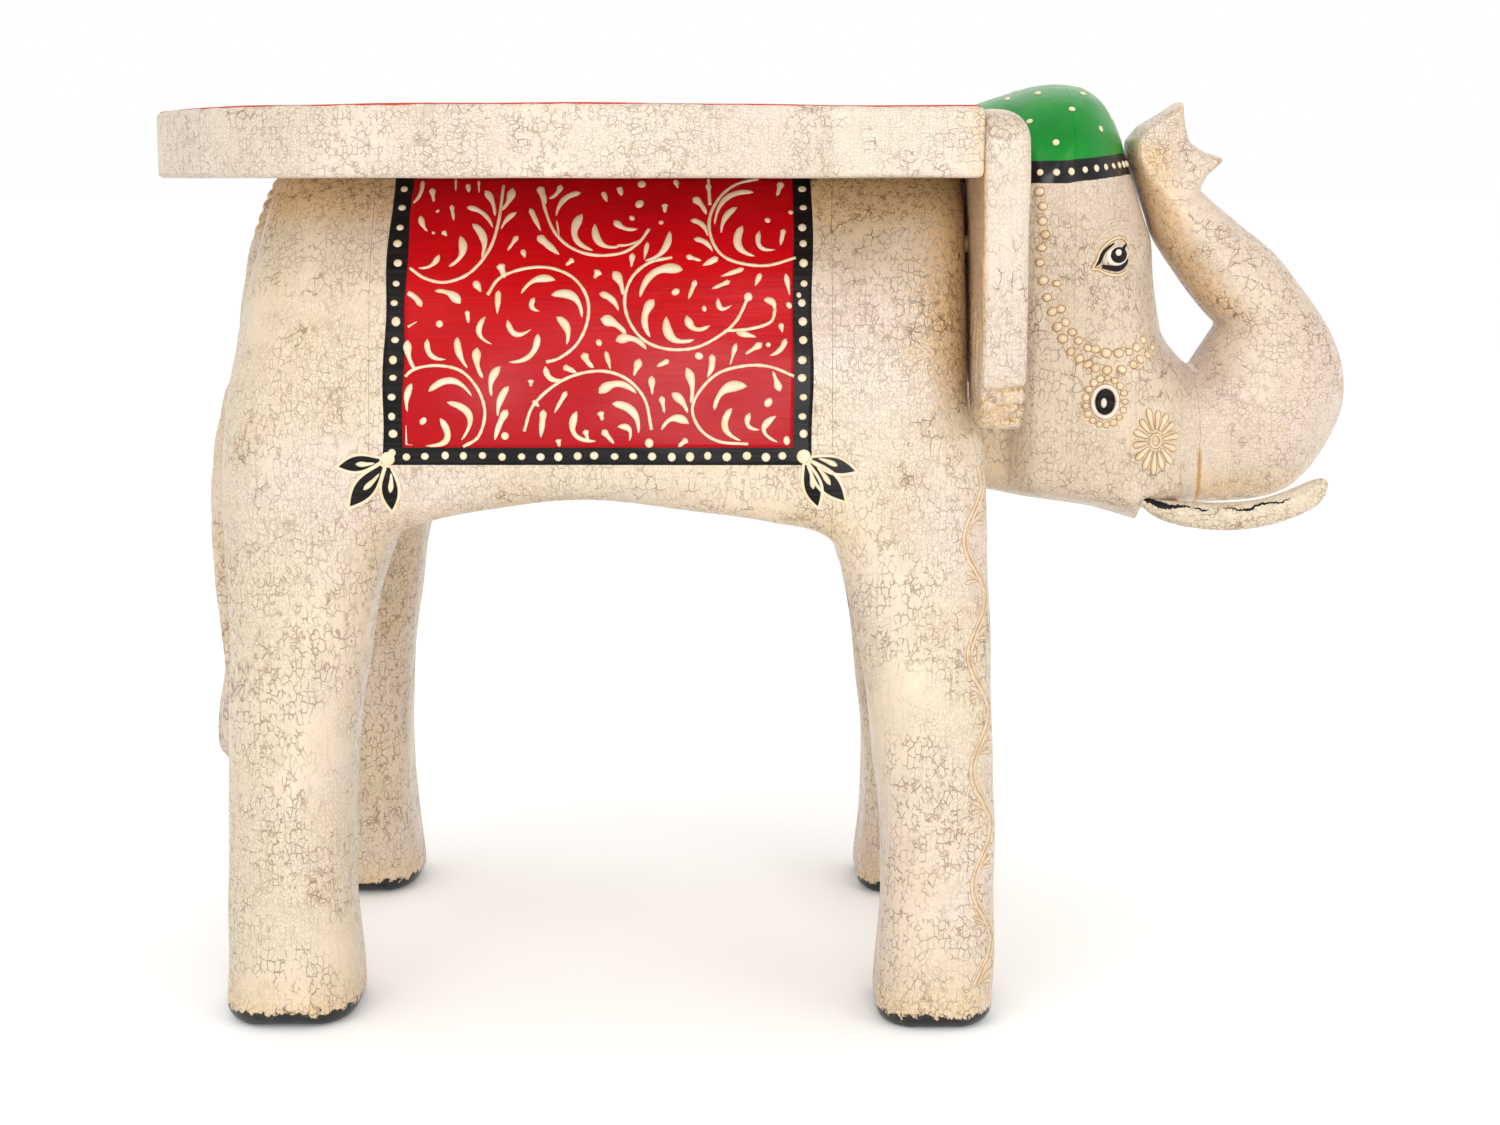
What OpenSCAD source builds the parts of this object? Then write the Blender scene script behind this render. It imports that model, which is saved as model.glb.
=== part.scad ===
// Elephant stool: a round seat on the back of a carved and painted wooden elephant.
// X runs from tail to trunk, Y to the elephant's left, and Z up from the floor.

/* [Seat] */
// Diameter of the round seat
seat_d = 293; // [290:1:300]
// Thickness of the seat board
seat_thick = 22; // [18:1:26]
// Height of the top of the seat above the floor
seat_height = 302; // [300:1:306]
// Width of the seat across its square end, behind the ears
seat_end_w = 236; // [200:1:236]

/* [Body] */
// Width of the middle block that everything is glued to
core_w = 76; // [70:1:80]
// Where the rear leg blocks meet the flanks
rear_seam_x = -126.8; // [-128:0.2:-125]
// Where the front leg blocks meet the flanks
front_seam_x = 25; // [24:0.5:26]
// Front face of the body, where the neck starts
neck_x = 71; // [71:0.5:72]

/* [Head] */
// Half the width of the head at the cheeks
cheek_half = 46; // [44:0.5:47]
// Glue seam between the two blocks of the head
head_seam_x = 108.7; // [106:0.1:112]
// Glue seam between the head and the trunk
trunk_seam_x = 155; // [154:0.5:156]
// Thickness of an ear
ear_thick = 14.5; // [12:0.5:16]
// How far an ear reaches from the middle of the head
ear_reach = 118; // [110:1:118]
// Distance of a tusk from the middle of the head
tusk_y = 41.5; // [41:0.5:44]

/* [Fixings] */
// Diameter of the wooden dowels in the body, the head and the trunk
dowel_d = 8; // [6:0.5:8]
// Diameter of the dowels in the ears
ear_dowel_d = 6; // [5:0.5:7]
// Diameter of the dowels in the tusks and the pins in the tail
pin_d = 4; // [3:0.5:4]
// Clearance round a dowel or a screw
bore_clearance = 0.2; // [0.1:0.05:0.4]
// Shank diameter of the seat screws
screw_d = 4; // [3.5:0.5:5]
// Length of the seat screws
screw_length = 45; // [35:5:45]
// Diameter of the plugs over the screws
plug_d = 10; // [9:0.5:12]
// Thickness of the plugs over the screws
plug_thick = 6; // [4:0.5:8]

/* [Hidden] */
$fn = 64;

seat_x = -62.7;
seat_under = seat_height - seat_thick;
core_half = core_w / 2;
body_top = seat_under;
ear_back = neck_x;
ear_front = neck_x + ear_thick;
ear_top_r = 10;
ear_outer_r = 12;
head_bottom = 163;
head_top = 311.9;
CREAM = [0.93, 0.87, 0.77];
PALE = [0.85, 0.76, 0.60];
GREEN = [0.05, 0.52, 0.22];
STEEL = [0.62, 0.63, 0.65];

// Outer face of the body and of the legs, as half a width at each height
barrel = [
    [0, 108], [40, 103], [80, 98], [120, 94], [150, 91], [172, 90], [192, 89],
    [212, 87], [232, 83], [252, 77], [267, 68], [280, 58], [300, 40],
];
// Arch of the belly, from the rear legs to the front legs
arch = [[-127, 163.5], [-103, 168.5], [-77, 172.8], [-56, 173.5], [-34, 172.2], [-6, 168.5], [26, 161]];
// Rump, seen from the side, from the seat down to the underside
rump = [[-158, 282], [-164, 257], [-168.5, 231], [-173, 208], [-176, 185], [-174, 170], [-164, 163]];

// A leg's stations: height, back, front, inner side, and radius of its inner,
// front outer and rear outer edges
rear_leg = [
    [0, -171, -141, 60, 15, 15, 15], [2.5, -175.8, -136.2, 55.5, 18, 18, 18],
    [7, -178.6, -133.6, 53, 20, 20, 20], [45, -177.9, -136.9, 50, 20, 20, 20],
    [86, -177.6, -135.9, 47, 20, 20, 20], [124, -177, -130.7, 43, 19, 18, 21],
    [150, -177.2, -127.5, 39, 12, 10, 22], [163, -177.6, rear_seam_x, core_half, 1, 1, 23],
    [185, -176.5, rear_seam_x, core_half, 1, 1, 23], [208, -171, rear_seam_x, core_half, 1, 1, 22],
    [231, -166, rear_seam_x, core_half, 1, 1, 20], [257, -161.5, rear_seam_x, core_half, 1, 1, 16],
    [body_top, -157, rear_seam_x, core_half, 1, 1, 9],
];
front_leg = [
    [0, 47, 72, 60, 13, 13, 13], [2.5, 42, 77, 55.5, 16, 16, 16],
    [7, 39.5, 79.2, 53, 18, 18, 18], [27, 42.2, 80.3, 51.5, 18, 18, 18],
    [55, 42.7, 80.2, 49.5, 18, 18, 18], [86, 40.1, 79.8, 47, 18, 18, 18],
    [114, 36.5, 79, 44, 18, 18, 17], [141, 31.3, 78, 40, 15, 18, 13],
    [163, front_seam_x, 77, core_half, 1, 16, 1], [185, front_seam_x, 76, core_half, 1, 15, 1],
    [195, front_seam_x, 75, core_half, 1, 14, 1], [200, front_seam_x, 70, core_half, 1, 14, 1],
    [212, front_seam_x, 70, core_half, 1, 14, 1], [232, front_seam_x, 70, core_half, 1, 14, 1],
    [257, front_seam_x, 70, core_half, 1, 14, 1], [body_top, front_seam_x, 70, core_half, 1, 9, 1],
];

// Head stations: height, back of the rear block, front of the face, share of the half width
head = [
    [head_bottom, 84, 131, 0.70], [165, 80, 168, 0.80], [169, 76, 168, 0.90],
    [176, neck_x, 168, 0.97], [190, neck_x, 168, 1], [206, neck_x, 166, 1],
    [213.7, neck_x, 157, 1], [218, neck_x, 151, 1], [224.6, neck_x, 145.2, 1],
    [243, neck_x, 142.7, 1], [257.6, neck_x, 141.4, 1], [266.8, neck_x, 137.9, 1],
    [280, neck_x, 133.6, 0.98], [288, neck_x, 130.4, 0.93], [294, neck_x, 128.8, 0.85],
    [299.5, neck_x, 126.6, 0.74], [303.5, 76.5, 124.2, 0.60], [307, 88, 121, 0.46],
    [310, 96, 116.8, 0.28], [head_top, 103, 112.5, 0.08],
];

// Trunk stations: outer edge in X and Z, inner edge in X and Z, half the width across
trunk_path = [
    [155, 164.5, 155, 214, 33], [176, 165.5, 160, 217.5, 30], [197.7, 172.3, 163.4, 223, 26],
    [207.9, 184.4, 165.4, 226.4, 24], [212.7, 205.9, 166, 228.6, 22.5],
    [209.5, 219.2, 165, 230.6, 21.5], [203.7, 229.8, 162, 234, 21], [195.3, 241.7, 156, 240.4, 20.5],
    [185.6, 253.6, 149.3, 249, 20], [173.5, 265, 143.5, 258, 19], [160, 275, 136.8, 274.5, 17.5],
];
// Forked tip of the trunk, seen from the side
trunk_tip = [
    [138, 270], [133.5, 284], [132.2, 292], [136.1, 297.2], [143, 300], [150.1, 305.8],
    [151, 297], [153.2, 291.7], [159, 288.5], [165.9, 285.3], [160.5, 280], [158, 274], [164, 270],
];
tip_half = 15;

// Tusk stations: lower edge in X and Z, upper edge in X and Z, half the width across
tusk_path = [
    [133, 169.2, 133.4, 170.8, 1.2], [140, 163.2, 141, 169.6, 3.6], [150, 160, 150, 168.8, 4.8],
    [162, 158.8, 161.5, 168.4, 4.9], [176, 160.8, 174.5, 169.8, 4.7], [189, 165.8, 186, 173.6, 4.2],
    [196.4, 170.5, 192.6, 176.3, 3.2], [198.6, 174.4, 197, 176.4, 1.2],
];

// Tail stations: outer edge in X and Z, inner edge in X and Z, half the width across
tail_path = [
    [-170, 280, -156, 280, 5], [-174.5, 271, -158, 268.5, 6], [-180.4, 253, -162, 251, 7],
    [-184.9, 226, -166, 224, 7], [-186.4, 212, -168, 209, 7], [-190.6, 203.5, -171, 196, 7],
    [-195.2, 187, -176, 182, 7], [-197.6, 171, -180.5, 166, 7], [-198.1, 156, -184, 155, 6.5],
    [-197.3, 133, -185, 133, 6], [-195, 108, -184, 108, 6], [-195.1, 99, -184, 99, 6.2],
    [-197.4, 86, -182.5, 86, 7.6], [-197.6, 74, -186, 75, 6.5], [-194.5, 68, -190, 68.5, 1.8],
];

// Dowel and screw places
body_dowel_xs = [-152, -100, -5, 48];
body_dowel_zs = [190, 235];
body_dowel_half = 20;
neck_dowel_y = 16;
neck_dowel_zs = [215, 265];
seam_dowel_y = 22;
seam_dowel_zs = [195, 240];
head_dowel_half = 18.5;
trunk_dowel_y = 14;
trunk_dowel_z = 190;
trunk_dowel_half = 16;
ear_dowel_y = 55;
ear_dowel_zs = [225, 258];
ear_dowel_start = neck_x - 11;
ear_dowel_end = neck_x + 9;
tusk_dowel_x = 146;
tusk_dowel_z = 167;
tusk_dowel_start = 24;
tusk_dowel_end = tusk_y + 2;
tail_pin_start = -176;
tail_pin_end = -150;
tail_pin_zs = [215, 246];
screw_xs = [-138, 18];
screw_y = 24;
screw_head_d = 8;
screw_head_h = 3;

// Lofts

CORNER_STEPS = 6;
SIDE_SHARE = 0.48;

// The point at t, from 0 to 1, of a smooth curve from p[i] to p[i + 1]
function curve_at(p, i, t) =
    let (a = p[max(i - 1, 0)], b = p[i], c = p[i + 1], d = p[min(i + 2, len(p) - 1)])
    0.5 * (2 * b + (c - a) * t + (2 * a - 5 * b + 4 * c - d) * t ^ 2
        + (3 * b - a - 3 * c + d) * t ^ 3);

// The smooth curve through the points p, with steps pieces from each to the next
function smooth(p, steps) = [
    for (i = [0:len(p) - 2], s = [0:steps - 1]) curve_at(p, i, s / steps),
    p[len(p) - 1]
];

// A rectangle with its corners rounded by r = [rear inner, front inner, front outer, rear outer]
function rounded_ring(z, x0, x1, y0, y1, r) = [
    for (c = [0:3], i = [0:CORNER_STEPS])
        let (
            a = 180 + 90 * c + 90 * i / CORNER_STEPS,
            rx = min(r[c], SIDE_SHARE * (x1 - x0)),
            ry = min(r[c], SIDE_SHARE * (y1 - y0)),
            x = c == 0 || c == 3 ? x0 + rx : x1 - rx,
            y = c < 2 ? y0 + ry : y1 - ry
        )
        [x + rx * cos(a), y + ry * sin(a), z]
];

// A ring from an outer to an inner edge, as wide as half_y to each side of y
OVAL_STEPS = 28;
function oval_ring(s, y) = [
    for (i = [0:OVAL_STEPS - 1])
        let (a = 360 * i / OVAL_STEPS, u = cos(a))
        [(s[0] + s[2]) / 2 + u * (s[0] - s[2]) / 2, y + s[4] * sin(a), (s[1] + s[3]) / 2 + u * (s[1] - s[3]) / 2]
];

// Triangles across a ring of n points, from one half of it to the other
function cap_faces(n) = [
    for (i = [0:ceil(n / 2) - 2])
        each [[i, i + 1, n - 1 - i], if (i + 1 < n - 2 - i) [i + 1, n - 2 - i, n - 1 - i]]
];

// A closed solid through rings that each hold as many points
module loft(rings) {
    n = len(rings[0]);
    last = len(rings) - 1;
    polyhedron(
        [for (r = rings) each r],
        [
            each cap_faces(n),
            for (f = cap_faces(n)) [for (i = [2:-1:0]) last * n + f[i]],
            for (k = [0:last - 1], i = [0:n - 1])
                let (a = k * n + i, b = k * n + (i + 1) % n)
                each [[a, a + n, b + n], [a, b + n, b]],
        ],
        convexity = 6
    );
}

module on_both_sides() {
    children();
    mirror([0, 1, 0]) children();
}

// A round bar along an axis, from one place to another
module bar_x(x0, x1, y, z, d) {
    translate([x0, y, z]) rotate([0, 90, 0]) cylinder(d = d, h = x1 - x0);
}

module bar_y(x, y0, y1, z, d) {
    translate([x, y1, z]) rotate([90, 0, 0]) cylinder(d = d, h = y1 - y0);
}

// Dowels and screws, grown by gap where they cut their own bores

module body_dowel_bars(gap = 0) {
    for (x = body_dowel_xs, z = body_dowel_zs)
        on_both_sides()
            bar_y(x, core_half - body_dowel_half - gap, core_half + body_dowel_half + gap, z, dowel_d + 2 * gap);
}

module neck_dowel_bars(gap = 0) {
    for (z = neck_dowel_zs)
        on_both_sides()
            bar_x(neck_x - head_dowel_half - gap, neck_x + head_dowel_half + gap, neck_dowel_y, z, dowel_d + 2 * gap);
}

module seam_dowel_bars(gap = 0) {
    for (z = seam_dowel_zs)
        on_both_sides()
            bar_x(
                head_seam_x - head_dowel_half - gap, head_seam_x + head_dowel_half + gap,
                seam_dowel_y, z, dowel_d + 2 * gap
            );
}

module trunk_dowel_bars(gap = 0) {
    on_both_sides()
        bar_x(
            trunk_seam_x - trunk_dowel_half - gap, trunk_seam_x + trunk_dowel_half + gap,
            trunk_dowel_y, trunk_dowel_z, dowel_d + 2 * gap
        );
}

module ear_dowel_bars(gap = 0) {
    for (z = ear_dowel_zs)
        on_both_sides()
            bar_x(ear_dowel_start - gap, ear_dowel_end + gap, ear_dowel_y, z, ear_dowel_d + 2 * gap);
}

module tusk_dowel_bars(gap = 0) {
    on_both_sides()
        bar_y(tusk_dowel_x, tusk_dowel_start - gap, tusk_dowel_end + gap, tusk_dowel_z, pin_d + 2 * gap);
}

module tail_pin_bars(gap = 0) {
    for (z = tail_pin_zs)
        bar_x(tail_pin_start - gap, tail_pin_end + gap, 0, z, pin_d + 2 * gap);
}

module screw_places() {
    for (x = screw_xs, side = [-1, 1])
        translate([x, side * screw_y, seat_height - plug_thick]) children();
}

module screw_shape(gap = 0) {
    rotate([180, 0, 0]) {
        cylinder(d = screw_d + 2 * gap, h = screw_length + gap);
        cylinder(d = screw_head_d + 2 * gap, h = screw_head_h + gap);
    }
}

// Seat

module seat_top() {
    color(CREAM)
        difference() {
            translate([0, 0, seat_under])
                linear_extrude(seat_thick)
                    intersection() {
                        union() {
                            translate([seat_x, 0]) circle(d = seat_d, $fn = 180);
                            translate([seat_x, -seat_end_w / 2]) square([neck_x - seat_x, seat_end_w]);
                        }
                        translate([neck_x - 2 * seat_d, -seat_d]) square(2 * seat_d);
                    }
            screw_places() {
                screw_shape(bore_clearance);
                cylinder(d = plug_d + 2 * bore_clearance, h = plug_thick + 1);
            }
        }
}

module seat_screws() {
    color(STEEL) screw_places() screw_shape();
}

module seat_screw_plugs() {
    color(PALE) screw_places() cylinder(d = plug_d, h = plug_thick);
}

// Body

module side_shape(points, y0, y1) {
    translate([0, y1, 0]) rotate([90, 0, 0]) linear_extrude(y1 - y0) polygon(points);
}

// A block as deep as the barrel, between two places along the body
module barrel_block(x0, x1) {
    outline = smooth(barrel, 2);
    translate([x0, 0, 0])
        rotate([90, 0, 90])
            linear_extrude(x1 - x0)
                polygon([[core_half, 0], each [for (p = outline) [p[1], p[0]]], [core_half, 300]]);
}

module core_outline(y0, y1) {
    side_shape(
        [
            [neck_x, body_top], each smooth([for (p = rump) [p[0], min(p[1], body_top)]], 3),
            [-150, 161.5], each smooth(arch, 3), [50, 158], [64, 161], [neck_x, 170],
        ],
        y0, y1
    );
}

module core_block() {
    color(PALE)
        difference() {
            core_outline(-core_half, core_half);
            body_dowel_bars(bore_clearance);
            neck_dowel_bars(bore_clearance);
            tail_pin_bars(bore_clearance);
            screw_places() screw_shape(bore_clearance);
        }
}

module flank() {
    color(CREAM)
        difference() {
            intersection() {
                barrel_block(rear_seam_x, front_seam_x);
                side_shape([[-200, body_top], each smooth(arch, 3), [200, 150], [200, body_top]], core_half, 120);
            }
            body_dowel_bars(bore_clearance);
        }
}

module flank_left() {
    flank();
}

module flank_right() {
    mirror([0, 1, 0]) flank();
}

// Half the width of the body and the legs at a height, less the rounding under a foot
function barrel_at(z) = lookup(z, smooth(barrel, 2)) - lookup(z, [[0, 7], [2.5, 2.5], [7, 0]]);

// A leg with the block above it, cut off flat at its glue faces
module leg(stations, back_limit, front_limit) {
    loft([
        for (s = smooth(stations, 2))
            rounded_ring(
                s[0], max(s[1], back_limit), min(s[2], front_limit),
                max(s[3], core_half), barrel_at(s[0]), [s[4], s[4], s[5], s[6]]
            )
    ]);
}

module front_leg_left() {
    color(CREAM)
        difference() {
            leg(front_leg, front_seam_x, neck_x + ear_thick);
            body_dowel_bars(bore_clearance);
            ear_dowel_bars(bore_clearance);
        }
}

module front_leg_right() {
    mirror([0, 1, 0]) front_leg_left();
}

module rear_leg_left() {
    color(CREAM)
        difference() {
            leg(rear_leg, seat_x - seat_d / 2, rear_seam_x);
            body_dowel_bars(bore_clearance);
        }
}

module rear_leg_right() {
    mirror([0, 1, 0]) rear_leg_left();
}

module body_dowels() {
    color(PALE) body_dowel_bars();
}

// Head

FACE_STEPS = 20;
FACE_POWER = 2.6;
NECK_STEPS = 4;

// Half the width across the neck and the back of the head, as a share of the cheeks'
neck_share = 0.82;
neck_widths = [[neck_x, neck_share], [ear_front + 5, neck_share], [ear_front + 14, 1], [head_seam_x, 1]];

// The face from its seam round to the front, and back on the other side
function face_ring(s) =
    let (depth = s[2] - head_seam_x, half = s[3] * cheek_half)
    [
        for (i = [0:FACE_STEPS])
            let (
                a = -90 + 180 * i / FACE_STEPS,
                x = depth * pow(cos(a), 2 / FACE_POWER),
                y = half * sign(sin(a)) * pow(abs(sin(a)), 2 / FACE_POWER)
            )
            [min(head_seam_x + x, trunk_seam_x), y, s[0]]
    ];

function neck_ring(s) =
    let (half = s[3] * cheek_half, start = max(s[1], neck_x), back = [
        for (i = [0:NECK_STEPS])
            let (x = start + (head_seam_x - start) * i / NECK_STEPS)
            [x, half * lookup(x, neck_widths)]
    ])
    [
        for (p = back) [p[0], -p[1], s[0]],
        for (i = [NECK_STEPS:-1:0]) [back[i][0], back[i][1], s[0]],
    ];

module head_front_block() {
    color(CREAM)
        difference() {
            loft([for (s = smooth(head, 2)) face_ring(s)]);
            seam_dowel_bars(bore_clearance);
            trunk_dowel_bars(bore_clearance);
            tusk_dowel_bars(bore_clearance);
        }
}

module head_rear_block() {
    color(GREEN)
        difference() {
            loft([for (s = smooth(head, 2)) neck_ring(s)]);
            neck_dowel_bars(bore_clearance);
            seam_dowel_bars(bore_clearance);
        }
}

module head_dowels() {
    color(PALE) {
        neck_dowel_bars();
        seam_dowel_bars();
    }
}

// Ear, as seen from the front, with the scalloped leaf shape of its lower edge
ear_inner_y = neck_share * cheek_half + 0.2;
ear_lobes = [[112, 210], [104, 203], [97, 206], [90, 202], [82, 207], [75, 205], [68, 213], [61, 215], [54, 224], [46, 232]];

module ear_outline() {
    outer_top = [ear_reach - ear_outer_r, seat_height - ear_outer_r];
    polygon([
        [ear_inner_y, seat_height],
        each [for (a = [90:-15:0]) outer_top + ear_outer_r * [cos(a), sin(a)]],
        [ear_reach, 222], each smooth(ear_lobes, 3), [ear_inner_y, 244],
    ]);
}

module ear_left() {
    color(CREAM)
        difference() {
            intersection() {
                translate([ear_back, 0, 0]) rotate([90, 0, 90]) linear_extrude(ear_thick) ear_outline();
                side_shape(
                    [
                        [ear_back, 190], [ear_back, seat_height],
                        each [
                            for (a = [90:-15:0])
                                [ear_front - ear_top_r, seat_height - ear_top_r] + ear_top_r * [cos(a), sin(a)]
                        ],
                        [ear_front, 190],
                    ],
                    0, 150
                );
            }
            ear_dowel_bars(bore_clearance);
        }
}

module ear_right() {
    mirror([0, 1, 0]) ear_left();
}

module ear_dowels() {
    color(PALE) ear_dowel_bars();
}

module trunk() {
    color(CREAM)
        difference() {
            union() {
                loft([for (s = smooth(trunk_path, 3)) oval_ring(s, 0)]);
                side_shape(trunk_tip, -tip_half, tip_half);
            }
            trunk_dowel_bars(bore_clearance);
        }
}

module trunk_dowels() {
    color(PALE) trunk_dowel_bars();
}

module tusk_left() {
    color(CREAM)
        difference() {
            loft([for (s = smooth(tusk_path, 3)) oval_ring(s, tusk_y)]);
            tusk_dowel_bars(bore_clearance);
        }
}

module tusk_right() {
    mirror([0, 1, 0]) tusk_left();
}

module tusk_dowels() {
    color(PALE) tusk_dowel_bars();
}

// Tail

module tail() {
    color(CREAM)
        difference() {
            loft([for (s = smooth(tail_path, 2)) oval_ring(s, 0)]);
            core_outline(-core_half, core_half);
            tail_pin_bars(bore_clearance);
        }
}

module tail_pins() {
    color(PALE) tail_pin_bars();
}

seat_top();
seat_screws();
seat_screw_plugs();
core_block();
body_dowels();
flank_left();
flank_right();
front_leg_left();
front_leg_right();
rear_leg_left();
rear_leg_right();
head_rear_block();
head_front_block();
head_dowels();
ear_left();
ear_right();
ear_dowels();
trunk();
trunk_dowels();
tusk_left();
tusk_right();
tusk_dowels();
tail();
tail_pins();
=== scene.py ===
"""The looks of the elephant stool: carved blocks cut from smooth fields, with paint and beads laid on them.

Places are in millimetres here, in the frame's own axes, and become metres where a mesh is made.
"""

import math
import random

import bmesh
import bpy
import numpy as np
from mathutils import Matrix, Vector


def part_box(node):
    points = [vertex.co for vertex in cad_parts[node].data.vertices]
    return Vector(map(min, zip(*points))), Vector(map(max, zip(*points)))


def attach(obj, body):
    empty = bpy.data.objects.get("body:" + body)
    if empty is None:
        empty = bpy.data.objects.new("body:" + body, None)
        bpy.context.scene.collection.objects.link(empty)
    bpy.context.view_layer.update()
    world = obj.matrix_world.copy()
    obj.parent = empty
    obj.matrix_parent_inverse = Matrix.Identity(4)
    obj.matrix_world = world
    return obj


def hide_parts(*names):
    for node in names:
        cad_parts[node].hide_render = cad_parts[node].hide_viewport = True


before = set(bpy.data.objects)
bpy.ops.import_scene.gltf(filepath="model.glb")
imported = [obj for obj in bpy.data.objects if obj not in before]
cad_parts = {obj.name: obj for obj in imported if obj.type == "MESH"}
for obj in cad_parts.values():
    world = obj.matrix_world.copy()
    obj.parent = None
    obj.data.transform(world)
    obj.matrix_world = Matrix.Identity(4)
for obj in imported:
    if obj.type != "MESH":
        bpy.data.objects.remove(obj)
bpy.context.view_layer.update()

import openvdb
from mathutils import Vector
from mathutils.bvhtree import BVHTree

MM = 0.001

# The places that the CAD model fixes, in millimetres
SEAT_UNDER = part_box("seat_top")[0][2] / MM
SEAT_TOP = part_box("seat_top")[1][2] / MM
SEAT_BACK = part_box("seat_top")[0][0] / MM
SEAT_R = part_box("seat_top")[1][1] / MM
SEAT_X = SEAT_BACK + SEAT_R
NECK_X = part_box("head_rear_block")[0][0] / MM
HEAD_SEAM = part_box("head_front_block")[0][0] / MM
TRUNK_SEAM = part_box("head_front_block")[1][0] / MM
REAR_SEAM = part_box("flank_left")[0][0] / MM
FRONT_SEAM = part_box("flank_left")[1][0] / MM
CORE_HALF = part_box("core_block")[1][1] / MM
EAR_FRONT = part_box("ear_left")[1][0] / MM
EAR_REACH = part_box("ear_left")[1][1] / MM
SEAM_GAP = 0.05

# How finely each field is turned into a surface
BODY_STEP, HEAD_STEP, EAR_STEP, SEAT_STEP = 1.5, 1.0, 0.8, 1.4
HANDS = ((1, "left"), (-1, "right"))


# Curves and fields


def spline(points, count=8):
    """Points along the smooth curve through the given ones."""
    p = np.array(points, float)
    p = np.vstack([2 * p[0] - p[1], p, 2 * p[-1] - p[-2]])
    t = np.linspace(0, 1, count, endpoint=False)[:, None]
    parts = [
        0.5 * (2 * b + (c - a) * t + (2 * a - 5 * b + 4 * c - d) * t**2 + (3 * b - a - 3 * c + d) * t**3)
        for a, b, c, d in zip(p, p[1:], p[2:], p[3:])
    ]
    return np.vstack([*parts, p[-2:-1]])


def along(table, at):
    """The smooth curve through a table of (place, value), read at each place."""
    s = spline(table)
    return np.interp(at, s[:, 0], s[:, 1])


def smoothstep(a, b, x):
    t = np.clip((x - a) / (b - a), 0, 1)
    return t * t * (3 - 2 * t)


def round_max(a, b, r):
    """Where two solids overlap, with a round edge of radius r."""
    return np.minimum(-r, np.maximum(a, b)) + np.hypot(np.maximum(a + r, 0), np.maximum(b + r, 0))


def outline_distance(points, u, v):
    """The signed distance from each (u, v) to a closed outline, negative inside."""
    u, v = np.broadcast_arrays(u, v)
    best, inside = np.full(u.shape, 1e12), np.zeros(u.shape, bool)
    p = np.array(points, float)
    for (au, av), (bu, bv) in zip(p, np.roll(p, -1, axis=0)):
        eu, ev = bu - au, bv - av
        if eu == ev == 0:
            continue
        wu, wv = u - au, v - av
        t = np.clip((wu * eu + wv * ev) / (eu * eu + ev * ev), 0, 1)
        best = np.minimum(best, (wu - t * eu) ** 2 + (wv - t * ev) ** 2)
        if ev != 0:
            inside ^= ((av > v) != (bv > v)) & (u < au + (v - av) * eu / ev)
    return np.where(inside, -1, 1) * np.sqrt(best)


def segment_distance(a, b, u, v):
    eu, ev = b[0] - a[0], b[1] - a[1]
    t = np.clip(((u - a[0]) * eu + (v - a[1]) * ev) / (eu * eu + ev * ev), 0, 1)
    return np.hypot(u - a[0] - t * eu, v - a[1] - t * ev)


def hand_carved(x, y, z, size=0.3):
    """The slow unevenness that a knife and sandpaper leave, in millimetres."""
    return size * (
        np.sin(x / 9.1 + 1.3 * np.sin(z / 23)) * np.sin(z / 12.7 + 0.6)
        + 0.7 * np.sin(y / 7.3 + z / 19.0) * np.sin(x / 15.0 + 2.1)
        + 0.5 * np.sin(z / 5.9 + x / 31.0 + y / 11.0)
    )


def surface_of(field, lo, hi, step):
    """The points and quads of the surface where a field of x, y and z is zero."""
    x, y, z = np.meshgrid(*(np.arange(a, b, step) for a, b in zip(lo, hi)), indexing="ij", sparse=True)
    values = np.broadcast_to(field(x, y, z), (x.size, y.size, z.size))
    band = 3 * step
    grid = openvdb.FloatGrid(band)
    grid.copyFromArray(np.ascontiguousarray(np.clip(values, -band, band).astype(np.float32)))
    points, quads = grid.convertToQuads(0.0)
    return points * step + np.array(lo, float), quads


# The body

BARREL = [
    (-20, 108.5), (0, 108), (40, 103), (80, 98), (120, 94), (150, 91), (172, 90), (192, 89),
    (212, 87), (232, 83), (252, 77), (267, 68), (280, 58), (292, 47), (320, 20),
]
LEG_INSIDE = [(-20, 53), (7, 53), (45, 50), (86, 47), (124, 42), (145, 35), (156, 25), (162, 12), (165, 0)]
ARCH = [
    (-136.9, 45), (-135.9, 86), (-130.7, 124), (-126.4, 148), (-121, 161.5), (-103, 168.5), (-77, 172.8),
    (-56, 173.5), (-34, 172.2), (-6, 168.5), (13, 164.5), (24.5, 160.5), (28.5, 150), (31.3, 141),
    (36.5, 114), (40.1, 86), (42.7, 55), (42.2, 27), (39.2, -10),
]
CHEST = [
    (79.2, -10), (80.3, 27), (80.2, 55), (79.8, 86), (79, 114), (78, 141), (77, 165), (76, 190), (74, 199),
]
RUMP = [
    (-163, 282), (-168, 257), (-173.5, 231), (-177.5, 208), (-179.5, 187), (-178.8, 161), (-177.4, 124),
    (-177.8, 86), (-178.2, 45), (-178.9, -10),
]
BELLY_R, LEG_R, HAUNCH_R, SHOULDER_R, SOLE_R = 11, 20, 25, 15, 6


def body_outline():
    return np.vstack([
        [(-161, 320)], spline(RUMP), [(-133.4, -10)], spline(ARCH), spline(CHEST),
        [(70.6, 203), (70, 207), (70, 320)],
    ])


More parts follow.
